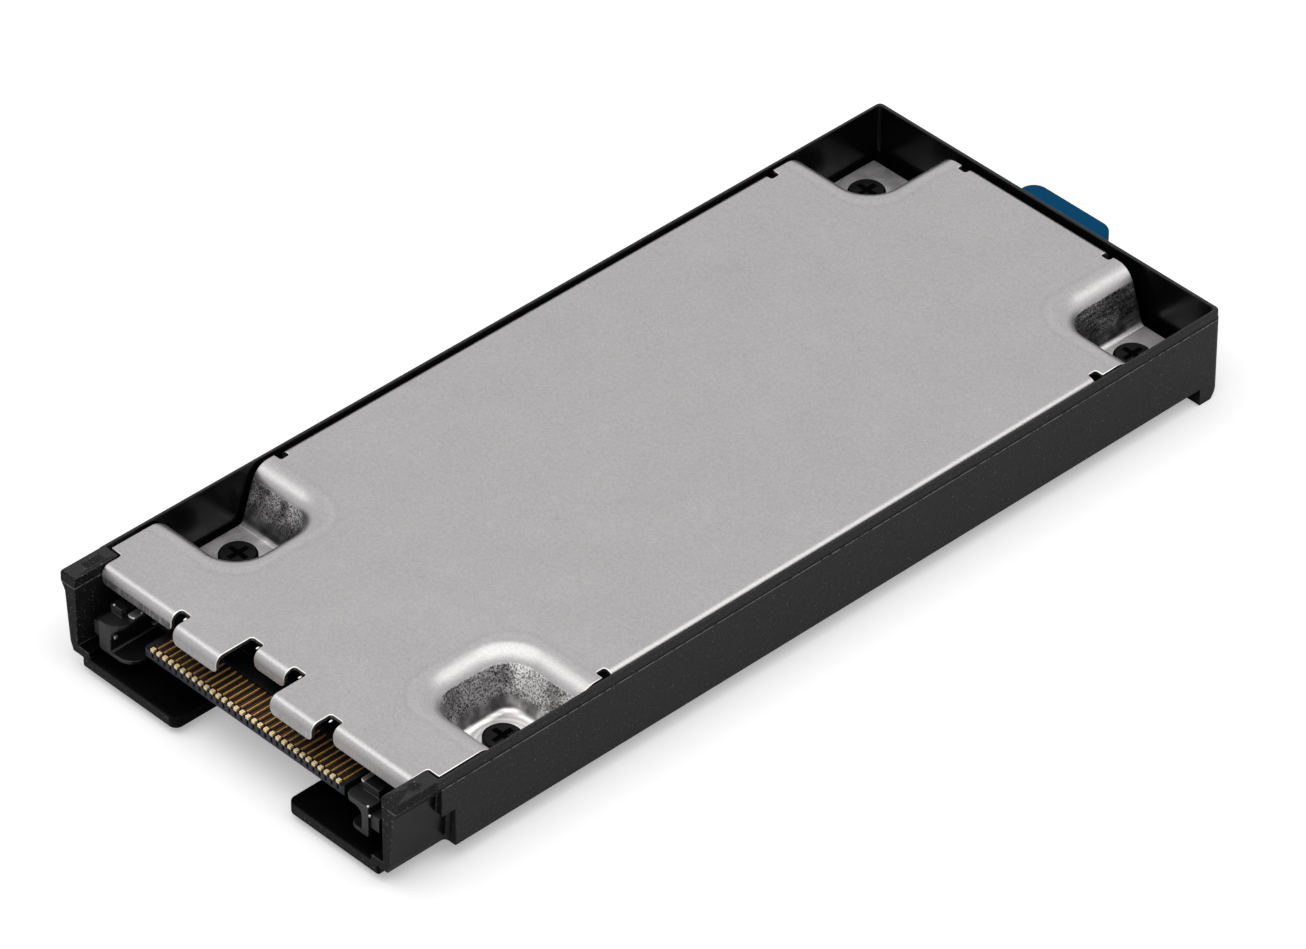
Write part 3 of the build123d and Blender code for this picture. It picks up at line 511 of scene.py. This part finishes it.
def skin_and_cut(bm, thickness):
    """Sort the sheet's faces into outer skin, inner skin and cut, by what lies behind each face."""
    # Shares of the sheet's thickness: how deep a ray starts, how far it goes, and how near a skin may be behind
    # another
    start_share, reach_share, skin_share = 0.02, 1.6, 0.6
    # A face whose normal rises by less than this stands upright
    upright = 0.05
    tree = BVHTree.FromBMesh(bm)
    low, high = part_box("cover_plate")
    middle = (Vector(low) + Vector(high)) / 2
    # A face with a hole may have its middle in the hole, so its largest triangle stands for it
    largest = {}
    for loops in bm.calc_loop_triangles():
        a, b, c = (loop.vert.co for loop in loops)
        area = (b - a).cross(c - a).length
        if area > largest.get(loops[0].face, (0, None))[0]:
            largest[loops[0].face] = (area, (a + b + c) / 3)
    kinds = {}
    for face in bm.faces:
        centre = largest[face][1] if face in largest else face.calc_center_median()
        start = centre - face.normal * thickness * start_share
        hit = tree.ray_cast(start, -face.normal, thickness * reach_share)
        if hit[0] is None or hit[3] < thickness * skin_share:
            kinds[face] = "cut"
            continue
        outward = centre - middle
        outward.z = 0
        up = face.normal.z
        outer = up > upright or (up > -upright and face.normal.dot(outward) > 0)
        kinds[face] = "outer" if outer else "inner"
    return kinds


# Operators

class CARTRIDGE_OT_cover(bpy.types.Operator):
    """Dress the pressed cover, with edges that the press has rubbed bright, painted lighter as highlight, and
    darker cut faces
    """
    bl_idname = "cartridge.cover"
    bl_label = "Cover"
    # The places of the materials that aren't the skin's
    sheared, burnished = 1, 2
    # All in millimetres. The cover's front is at this y in the part's own frame, which gives the burrs' places
    front = 2.4
    burrs = ((-11.75, 4.75), (-2.95, 7.15), (3.7, 7.15), (11.2, 4.75))
    # Half a burr's size along each axis, and its middle's depth under the cover's top
    burr_size = (0.15, 0.3, 0.12)
    burr_depth = 0.4
    # A rear seat's corner: its least height and greatest lean, how near it stands to the cover's side and end,
    # and how far it lies under the screws' tops
    corner_height, corner_lean = 0.3, 0.02
    corner_side, corner_end = 2, 3
    corner_depth = 0.9

    def upright(self, edge):
        """Whether the edge is long enough for a corner and doesn't lean."""
        run = edge.verts[1].co - edge.verts[0].co
        return abs(run.z) > self.corner_height * MM and run.xy.length < self.corner_lean * MM

    def seat_corner(self, edge, high, top):
        """Whether the edge is an upright outer corner of a rear screw seat."""
        start = edge.verts[0].co
        return (
            len(edge.link_faces) == 2 and self.upright(edge) and start.z < top
            and abs(start.x) > high.x - self.corner_side * MM and start.y > high.y - self.corner_end * MM
        )

    def execute(self, context):
        bm = merged_copy("cover_plate")
        size = sizes()
        low, high = (Vector(v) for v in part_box("cover_plate"))
        corner_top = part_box("cover_screws")[1].z - self.corner_depth * MM
        corners = [e for e in bm.edges if self.seat_corner(e, high, corner_top)]
        if corners:
            round_edges(bm, corners, size.seat_corner, 4)
        for wanted, width in (("inner", size.lower_arris), ("outer", size.upper_arris)):
            kinds = skin_and_cut(bm, size.sheet)
            edges = []
            for edge in sharp_edges(bm, CORNER_ABOVE):
                pair = {kinds[f] for f in edge.link_faces}
                if pair == {wanted, "cut"}:
                    edges.append(edge)
            if wanted == "inner":
                for face, kind in kinds.items():
                    if kind == "cut":
                        face.material_index = self.sheared
            round_edges(bm, edges, width, 2, self.burnished)
        # The shear leaves a rolled burr at the inner end of each relief between the front tabs, given the edges'
        # bright steel as a painted glint
        for x, y in self.burrs:
            middle = (x * MM, low.y + (y - self.front) * MM, high.z - self.burr_depth * MM)
            burr = bmesh.ops.create_icosphere(bm, subdivisions=2, radius=1)["verts"]
            bmesh.ops.scale(bm, vec=tuple(s * MM for s in self.burr_size), verts=burr)
            bmesh.ops.translate(bm, vec=middle, verts=burr)
            for face in {f for v in burr for f in v.link_faces}:
                face.material_index = self.burnished
        materials = [pressed_steel(), sheared_steel(), burnished_edge()]
        finish_piece(bm, "pressed_cover", materials, ["cover_plate"])
        return {"FINISHED"}


class CARTRIDGE_OT_tray(bpy.types.Operator):
    """Dress the moulded tray, textured outside and polished inside, with painted shade inside, on the caps and
    jambs and on the pan's front edges
    """
    bl_idname = "cartridge.tray"
    bl_label = "Tray"
    # The places of the materials
    textured, polished, handled, worn, filmed = range(5)
    # All in millimetres. How far in from the side walls' and the closing wall's outer faces the inside begins,
    # and how far under the rim
    inside_side, inside_end, inside_depth = 0.6, 0.65, 0.3
    # The caps and jambs: their reach from the plug's end, the caps' depth and the jambs' width
    cap_reach, cap_depth, jamb_width = 7.5, 2.5, 1
    # The pan's front part: its height, its reach from the plug's end and how far its sides lie in
    pan_height, pan_reach, pan_side = 2.4, 9, 1
    # Behind this, from the plug's end, the rounded edges aren't worn
    worn_reach = 8
    # Corners where small forms run together, and how near an edge may start. The end lip's front is given by its
    # y and z, at the tray's greatest x, and the pan's by its x and z, at the tray's least y
    lip_front, pan_front, corner_near = (55.9, 2.2), (23.2, 2.1), 0.6
    # Edges within this of the parting belong to its step
    parting_near = 0.08
    # Bounds of a face's normal: ceilings rise less than the first, level floors more than the second, faces
    # towards the plug's end have a y below the third, and flats square to an axis have a part above the last
    ceiling, level, forward, square = -0.2, 0.9, -0.5, 0.9995

    def inside(self, point, high):
        """Whether a point lies between the walls."""
        return abs(point.x) < high.x - self.inside_side * MM and point.y < high.y - self.inside_end * MM

    def sort_faces(self, bm, low, high):
        """Polished inside and painted darker there as shade, matte on the caps and jambs and painted darker
        there as shade, textured elsewhere.
        """
        for face in bm.faces:
            c, normal = face.calc_center_median(), face.normal
            if self.inside(c, high) and c.z < high.z - self.inside_depth * MM and normal.z > self.ceiling:
                face.material_index = self.polished
            on_cap = c.z > high.z - self.cap_depth * MM or abs(c.x) > high.x - self.jamb_width * MM
            if c.y < low.y + self.cap_reach * MM and (on_cap or normal.y < self.forward):
                face.material_index = self.handled

    def sort_edges(self, bm, low, high):
        """Painted shade on the pan's front edges, worn at the plug's end, and like their neighbours elsewhere.
        """
        for face in bm.faces:
            c = face.calc_center_median()
            rounded = face.material_index == self.worn
            on_pan = (
                c.z < self.pan_height * MM and c.y < low.y + self.pan_reach * MM
                and abs(c.x) < high.x - self.pan_side * MM
            )
            if on_pan and (face.normal.z < self.level or rounded):
                face.material_index = self.filmed
            elif rounded and c.y > low.y + self.worn_reach * MM:
                face.material_index = self.polished if self.inside(c, high) else self.textured

    def execute(self, context):
        bm = merged_copy("carrier_tray")
        low, high = (Vector(v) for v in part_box("carrier_tray"))
        self.sort_faces(bm, low, high)
        lip_y, lip_z = self.lip_front
        pan_x, pan_z = self.pan_front
        corners = ((high.x, lip_y * MM, lip_z * MM), (pan_x * MM, low.y, pan_z * MM))
        skip = [Vector((s * x, y, z)) for x, y, z in corners for s in (-1, 1)]
        # The parting step is finer than the arris, so it stays sharp
        parting = high.z - sizes().parting_depth
        edges = [e for e in sharp_edges(bm, CORNER_ABOVE, skip, self.corner_near * MM)
                 if max(abs(v.co.z - parting) for v in e.verts) > self.parting_near * MM]
        round_edges(bm, edges, sizes().tray_arris, 2, self.worn)
        self.sort_edges(bm, low, high)
        # An arris may end a hair outside where two edges meet askew, so it is held to the tray's own limits
        for vert in bm.verts:
            vert.co = Vector(max(a, min(b, c)) for a, b, c in zip(low, high, vert.co))
        black, fleck = colours().black, colours().fleck
        materials = [
            nylon("Spark-textured black nylon", black, fleck, 0, Roughness=0.5, Specular_IOR_Level=0.22),
            # Off a polished core: darker, partly as painted shade between the walls, and glossy enough to show
            # soft reflections
            speckled("Core-polished black nylon", shade(black, 0.3), 0.4, 0.5, 0.01, Roughness=0.22, IOR=1.53,
                     Specular_IOR_Level=0.17),
            # The caps and jambs rub in the hand and in the bay, which mattes them and shows more glass; their
            # nylon is also painted darker as shade
            nylon("Handled black nylon in painted shade", shade(black, 0.75), fleck, 0.03, Roughness=0.55,
                  Specular_IOR_Level=0.1),
            nylon("Worn nylon edge", black, shade(fleck, 0.8), 0.1, Roughness=0.45, Specular_IOR_Level=0.22),
            # The pan's front edges are painted flat and dark as shade
            speckled("Pan nylon in painted shade", shade(black, 0.3), 0.3, 0.5, 0.01, Roughness=0.6,
                     Specular_IOR_Level=0.05),
        ]
        tray = finish_piece(bm, "moulded_tray", materials, ["carrier_tray"])
        # The tray's flats stay flat, so that no light bends towards their rounded edges
        for face in tray.data.polygons:
            if max(abs(c) for c in face.normal) > self.square:
                face.use_smooth = False
        return {"FINISHED"}


class CARTRIDGE_OT_screws(bpy.types.Operator):
    """Dress the four cover screws"""
    bl_idname = "cartridge.screws"
    bl_label = "Screws"
    # All in millimetres. A recess's faces lie at least this far in from the set's sides and ends, above this
    # height and this far under the heads' tops
    recess_inwards, recess_floor, recess_depth = 0.6, 5.8, 0.02
    # In degrees, and lower than for other corners, because the heads' chamfers turn by less
    corner_above = 40

    def execute(self, context):
        bm = merged_copy("cover_screws")
        low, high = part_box("cover_screws")
        for face in bm.faces:
            centre = face.calc_center_median()
            side = min((low.x, high.x), key=lambda x: abs(x - centre.x))
            end = min((low.y, high.y), key=lambda y: abs(y - centre.y))
            inwards = min(abs(centre.x - side), abs(centre.y - end))
            deep = self.recess_floor * MM < centre.z < high.z - self.recess_depth * MM
            if deep and inwards > self.recess_inwards * MM:
                face.material_index = 1
        round_edges(bm, sharp_edges(bm, self.corner_above), sizes().screw_arris, 1)
        # Black zinc over steel: nearly black, with a low gleam on the edges
        black = speckled("Black zinc plate", colours().screw, 0.3, 0.3, 0.01, Roughness=0.4,
                         Specular_IOR_Level=0.08)
        # The driver's recess is painted near black as its shade, so it shows as flat black
        recess = speckled("Recess in painted shade", shade(colours().screw, 0.25), 0.3, 0.3, 0.01, Roughness=0.7,
                          Specular_IOR_Level=0.02)
        finish_piece(bm, "cover_screw_set", [black, recess], ["cover_screws"])
        return {"FINISHED"}


class CARTRIDGE_OT_plug(bpy.types.Operator):
    """Dress the plug's moulding"""
    bl_idname = "cartridge.plug"
    bl_label = "Plug"
    # The places of the materials that aren't the plain one
    rubbed, grooved, scuffed = range(1, 4)
    # All in millimetres. How far the tongue reaches past the contacts at the sides and behind, and how deep its
    # front face is
    tongue_side, tongue_behind, tongue_front = 1.2, 1, 0.1
    # The ears' tops, where small forms run together: the right one's place, and how near an edge may start
    ear_top, ear_near = (20.5, -62.6, 5.5), 0.5
    # Bounds of a face's normal: a groove's floor rises more than the first, and an ear's front has a y below the
    # second
    level, forward = 0.5, -0.7

    def execute(self, context):
        bm = merged_copy("connector_housing")
        low, high = (Vector(v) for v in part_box("contacts"))
        side = self.tongue_side * MM
        for face in bm.faces:
            c = face.calc_center_median()
            if low.x - side < c.x < high.x + side and c.y < high.y + self.tongue_behind * MM:
                groove = face.normal.z > self.level or c.y > low.y + self.tongue_front * MM
                face.material_index = self.grooved if groove else self.rubbed
            elif face.normal.y < self.forward:
                face.material_index = self.scuffed
        x, y, z = (c * MM for c in self.ear_top)
        tops = [Vector((s * x, y, z)) for s in (-1, 1)]
        edges = sharp_edges(bm, CORNER_ABOVE, tops, self.ear_near * MM)
        round_edges(bm, edges, sizes().plug_arris, 1)
        plug, tongue = colours().plug, colours().tongue
        materials = [
            # Liquid crystal polymer: near black and satin, a little mottled
            speckled("Dark liquid crystal polymer", plug, 0.5, 0.35, 0.02, Roughness=0.4, IOR=1.6,
                     Specular_IOR_Level=0.18),
            # The tongue's front is rubbed by the socket, which leaves it greyer and bluish
            speckled("Rubbed polymer", tongue, 0.4, 0.2, 0.02, Roughness=0.5, IOR=1.6, Specular_IOR_Level=0.3),
            # The floors between the contacts lie in their shade
            speckled("Polymer between contacts", shade(plug, 0.4), 0.4, 0.3, 0.02, Roughness=0.6, IOR=1.6,
                     Specular_IOR_Level=0.1),
            # Each mating scuffs the ears' fronts
            speckled("Scuffed polymer", shade(plug, 2.2), 0.3, 0.6, 0.03, Roughness=0.5, IOR=1.6,
                     Specular_IOR_Level=0.4),
        ]
        finish_piece(bm, "plug_moulding", materials, ["connector_housing"])
        return {"FINISHED"}


class CARTRIDGE_OT_contacts(bpy.types.Operator):
    """Build the row of gold contacts, each with a raised tip"""
    bl_idname = "cartridge.contacts"
    bl_label = "Contacts"
    # The places of the materials that aren't the tips' gold
    strips, wiped = 1, 2
    # Shares of a contact's width: its strip, the line that the socket wipes on it, how far aside that line is,
    # and the rim round the wiped middle of its tip
    strip_share, line_share, line_aside, rim_share = 0.9, 0.16, 0.38, 0.34
    # Where the wiped line begins, in lengths of a tip, and how proud it stands in millimetres
    line_start, line_rise = 1.5, 0.02

    def execute(self, context):
        size = sizes()
        low, high = (Vector(v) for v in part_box("contacts"))
        width, count = size.contact_width, size.contact_count
        bm = bmesh.new()
        strip_top = low.z + size.contact_thickness
        line_top = strip_top + self.line_rise * MM
        strip_y, line_y = low.y + size.tip_length / 2, low.y + size.tip_length * self.line_start
        for i in range(count):
            x = low.x + width / 2 + i * (high.x - low.x - width) / (count - 1)
            line_x = x + width * self.line_aside
            for face in self.bar(bm, x, width * self.strip_share, strip_y, high.y, low.z, strip_top):
                face.material_index = self.strips
            for face in self.bar(bm, line_x, width * self.line_share, line_y, high.y, low.z, line_top):
                face.material_index = self.wiped
            tip = self.bar(bm, x, width, low.y, low.y + size.tip_length, low.z, high.z)
            top = max(tip, key=lambda f: f.calc_center_median().z)
            bmesh.ops.inset_region(bm, faces=[top], thickness=width * self.rim_share, depth=0)
            top.material_index = self.wiped
        # Hard gold over nickel: pale on the buffed tips, painted dark brown along the strips as the cover's
        # shade, warm where the socket wipes
        gold = speckled("Hard gold plate", colours().gold, 0.25, 0.08, 0.005, Metallic=0.6, Roughness=0.5)
        strips = speckled("Gold in painted shade", colours().strip, 0.25, 0.15, 0.01, Metallic=0.8, Roughness=0.4)
        wiped = speckled("Wiped gold plate", colours().wiped, 0.25, 0.1, 0.005, Metallic=0.3, Roughness=0.5)
        finish_piece(bm, "contact_row", [gold, strips, wiped], ["contacts"])
        return {"FINISHED"}

    def bar(self, bm, x, width, y0, y1, z0, z1):
        """A plain bar between the given limits; returns its faces."""
        made = bmesh.ops.create_cube(bm, size=1)["verts"]
        bmesh.ops.scale(bm, vec=(width, y1 - y0, z1 - z0), verts=made)
        bmesh.ops.translate(bm, vec=(x, (y0 + y1) / 2, (z0 + z1) / 2), verts=made)
        return {f for v in made for f in v.link_faces}


class CARTRIDGE_OT_clips(bpy.types.Operator):
    """Dress the two metal clips on the plug's ears"""
    bl_idname = "cartridge.clips"
    bl_label = "Ear clips"
    # All in millimetres. The plug's front is at this y in the part's own frame, which gives the ends' places
    front = 1.2
    # Small bits of tinned steel: some are ends that come through an ear, the rest are painted glints on the
    # moulding's edges. Each: its middle's x, y and z, and its size along x, y and z
    ends_and_glints = (
        (-21.6, 3.2, 8.5, 0.3, 0.3, 0.15),
        (-20.1, 1.9, 5.75, 0.45, 0.5, 0.45),
        (-19.3, 7.1, 5.4, 0.45, 1.3, 0.25),
        (-19.2, 5.0, 7.85, 0.3, 0.3, 0.15),
        (20.44, 1.5, 7.5, 0.3, 0.3, 0.15),
        (20.95, 1.25, 6.65, 0.3, 0.2, 0.3),
    )
    end_arris = 0.08

    def execute(self, context):
        # Tinned spring steel: bright and a little uneven
        tin = speckled("Tinned spring steel", linear("#D2D1CF"), 0.3, 0.12, 0.01, Metallic=1.0, Roughness=0.42)
        bm = merged_copy("ear_clips")
        round_edges(bm, sharp_edges(bm, CORNER_ABOVE), sizes().plug_arris, 2)
        finish_piece(bm, "ear_clip_pair", [tin], ["ear_clips"])
        bm = bmesh.new()
        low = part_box("connector_housing")[0]
        for x, y, z, width, run, height in self.ends_and_glints:
            end = bmesh.ops.create_cube(bm, size=1)["verts"]
            bmesh.ops.scale(bm, vec=(width * MM, run * MM, height * MM), verts=end)
            bmesh.ops.translate(bm, vec=(x * MM, low.y + (y - self.front) * MM, z * MM), verts=end)
            round_edges(bm, list({e for v in end for e in v.link_edges}), self.end_arris * MM, 2)
        finish_piece(bm, "ear_clip_bits", [tin])
        return {"FINISHED"}


class CARTRIDGE_OT_finger_tab(bpy.types.Operator):
    """Dress the blue finger tab"""
    bl_idname = "cartridge.finger_tab"
    bl_label = "Finger tab"

    def execute(self, context):
        bm = merged_copy("finger_tab")
        # Blue polycarbonate: plain moulded sheen with a faint grain
        blue = speckled("Blue polycarbonate", colours().tab, 0.2, 0.08, 0.01, Roughness=0.6, IOR=1.58,
                        Specular_IOR_Level=0.04)
        finish_piece(bm, "blue_finger_tab", [blue], ["finger_tab"])
        return {"FINISHED"}


class CARTRIDGE_OT_inside(bpy.types.Operator):
    """Give the hidden boards, chips and fasteners their finishes"""
    bl_idname = "cartridge.inside"
    bl_label = "Inside"

    def execute(self, context):
        # Each finish: its name and colour, its grain, contrast and bump, its metal and roughness, and its nodes
        finishes = (
            ("Green glass-epoxy laminate", linear("#1F4A36"), 0.6, 0.12, 0.01, 0.0, 0.4,
             ["adapter_board", "drive_board"]),
            ("Black epoxy mould compound", linear("#1C1C1E"), 0.2, 0.2, 0.01, 0.0, 0.55,
             ["controller_chip", "buffer_chip", "memory_chip_front", "memory_chip_rear", "power_chip"]),
            ("Tan ceramic", linear("#9C8263"), 0.3, 0.1, 0.01, 0.0, 0.5, ["board_capacitors"]),
            ("Turned brass", linear("#C9A45C"), 0.3, 0.1, 0.01, 1.0, 0.3,
             ["threaded_inserts", "board_standoff"]),
            ("Grey silicone pad", linear("#8E9396"), 0.3, 0.08, 0.03, 0.0, 0.8, ["heat_pad"]),
            ("Amber polyimide film", linear("#B5762B"), 2.0, 0.06, 0.005, 0.0, 0.25, ["insulating_film"]),
            ("Thin gold flash", colours().gold, 0.25, 0.1, 0.005, 1.0, 0.25, ["edge_fingers"]),
            ("Bright zinc plate", linear("#B4B4B2"), 0.3, 0.1, 0.01, 1.0, 0.3,
             ["adapter_screws", "drive_screw"]),
            ("Black socket polymer", linear("#1E1E20"), 0.3, 0.2, 0.01, 0.0, 0.45, ["drive_socket"]),
        )
        for name, base, grain_size, contrast, bump_height, metal, rough, nodes in finishes:
            material = speckled(name, base, grain_size, contrast, bump_height, Metallic=metal, Roughness=rough)
            for node in nodes:
                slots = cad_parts[node].material_slots
                if not slots:
                    raise RuntimeError(f"{node} has no material slot")
                for slot in slots:
                    slot.material = material
        return {"FINISHED"}


class CARTRIDGE_OT_stage(bpy.types.Operator):
    """Set the floor, the soft light and the camera"""
    bl_idname = "cartridge.stage"
    bl_label = "Studio"
    # All in metres. Half the floor's side, the soft box's sides, how far it stands from the part's middle
    # towards the camera and above the floor, and the camera's place
    floor_half = 6
    box_long, box_short = 1.5, 0.9
    box_forward, box_height = 0.14, 0.65
    camera_place = (0.541826, -0.516652, 0.600935)
    # How much light of its own the floor shows the camera, so that it is as white as the world behind it
    floor_glow = 0.35

    def execute(self, context):
        self.floor()
        self.light()
        self.camera()
        context.scene.view_settings.view_transform = "Standard"
        return {"FINISHED"}

    def floor(self):
        bm = bmesh.new()
        bmesh.ops.create_grid(bm, x_segments=1, y_segments=1, size=self.floor_half)
        mesh = bpy.data.meshes.new("floor")
        bm.to_mesh(mesh)
        bm.free()
        # Seamless paper: matte and even, nearly white, with fibres of 1.5 mm
        material, tree, surface, place = start_finish("Seamless white paper", Roughness=0.9)
        fibre = add_node(tree, "TexNoise", {"Vector": place, "Scale": per_metre(1.5)})
        dark, light = (*linear("#F3F3F3"), 1), (*linear("#F6F6F6"), 1)
        tint = add_node(tree, "Mix", {0: fibre, 6: dark, 7: light}, data_type="RGBA")
        tree.links.new(tint.outputs[2], surface.inputs["Base Color"])
        path = add_node(tree, "LightPath")
        tree.links.new(path.outputs["Is Camera Ray"], surface.inputs["Emission Strength"])
        surface.inputs["Emission Color"].default_value = (*[self.floor_glow] * 3, 1)
        mesh.materials.append(material)
        floor = bpy.data.objects.new("floor", mesh)
        bpy.context.scene.collection.objects.link(floor)

    def light(self):
        """A world that is white when seen or mirrored but dim on matte surfaces, and a soft box overhead."""
        world = bpy.data.worlds.new("White studio")
        world.use_nodes = True
        tree = world.node_tree
        tree.nodes.clear()
        path = add_node(tree, "LightPath").outputs
        seen = add_node(tree, "Math", (path["Is Camera Ray"], path["Is Glossy Ray"]), operation="MAXIMUM")
        seen = add_node(tree, "Math", (seen, path["Is Transmission Ray"]), operation="MAXIMUM")
        sky = add_node(tree, "Background", {"Color": (1, 1, 1, 1), "Strength": studio().sky})
        white = add_node(tree, "Background", {"Color": (1, 1, 1, 1), "Strength": 1.0})
        mix = add_node(tree, "MixShader", (seen, sky, white))
        add_node(tree, "OutputWorld", {"Surface": mix})
        bpy.context.scene.world = world

        lamp = bpy.data.lights.new("soft_box", "AREA")
        lamp.shape = "RECTANGLE"
        lamp.size = self.box_long
        lamp.size_y = self.box_short
        lamp.energy = studio().lamp
        holder = bpy.data.objects.new("soft_box", lamp)
        # Its long side runs across the view, so that the camera sees it mirrored in the bends on both sides and
        # not in the flat
        turn = studio().azimuth
        holder.location = (self.box_forward * sin(turn), -self.box_forward * cos(turn), self.box_height)
        holder.rotation_euler = (0, 0, turn)
        bpy.context.scene.collection.objects.link(holder)

    def camera(self):
        data = bpy.data.cameras.new("camera")
        data.sensor_width = 36
        data.lens = studio().lens
        data.clip_start = 0.05
        data.clip_end = 20
        camera = bpy.data.objects.new("camera", data)
        camera.location = self.camera_place
        a, e = studio().azimuth, studio().elevation
        back = Vector((sin(a) * cos(e), -cos(a) * cos(e), sin(e)))
        camera.rotation_euler = (-back).to_track_quat("-Z", "Y").to_euler()
        bpy.context.scene.collection.objects.link(camera)
        bpy.context.scene.camera = camera


OPERATORS = [
    CARTRIDGE_OT_cover,
    CARTRIDGE_OT_tray,
    CARTRIDGE_OT_screws,
    CARTRIDGE_OT_plug,
    CARTRIDGE_OT_contacts,
    CARTRIDGE_OT_clips,
    CARTRIDGE_OT_finger_tab,
    CARTRIDGE_OT_inside,
    CARTRIDGE_OT_stage,
]


class CARTRIDGE_PT_panel(bpy.types.Panel):
    """Lists the steps that dress the cartridge"""
    bl_label = "Drive cartridge"
    bl_idname = "CARTRIDGE_PT_panel"
    bl_space_type = "VIEW_3D"
    bl_region_type = "UI"
    bl_category = "Cartridge"

    def draw(self, context):
        for operator in OPERATORS:
            self.layout.operator(operator.bl_idname)
        for group in (sizes(), colours(), studio()):
            for key in group.bl_rna.properties.keys():
                if key not in ("rna_type", "name"):
                    self.layout.prop(group, key)


CLASSES = [CartridgeSizes, CartridgeColours, StudioSettings, *OPERATORS, CARTRIDGE_PT_panel]


def register():
    for cls in CLASSES:
        bpy.utils.register_class(cls)
    bpy.types.Scene.cartridge_sizes = bpy.props.PointerProperty(type=CartridgeSizes)
    bpy.types.Scene.cartridge_colours = bpy.props.PointerProperty(type=CartridgeColours)
    bpy.types.Scene.cartridge_studio = bpy.props.PointerProperty(type=StudioSettings)


def unregister():
    del bpy.types.Scene.cartridge_studio
    del bpy.types.Scene.cartridge_colours
    del bpy.types.Scene.cartridge_sizes
    for cls in reversed(CLASSES):
        bpy.utils.unregister_class(cls)


def main():
    register()
    bpy.ops.cartridge.stage()
    bpy.ops.cartridge.cover()
    bpy.ops.cartridge.tray()
    bpy.ops.cartridge.screws()
    bpy.ops.cartridge.plug()
    bpy.ops.cartridge.contacts()
    bpy.ops.cartridge.clips()
    bpy.ops.cartridge.finger_tab()
    bpy.ops.cartridge.inside()


if __name__ == "__main__":
    main()
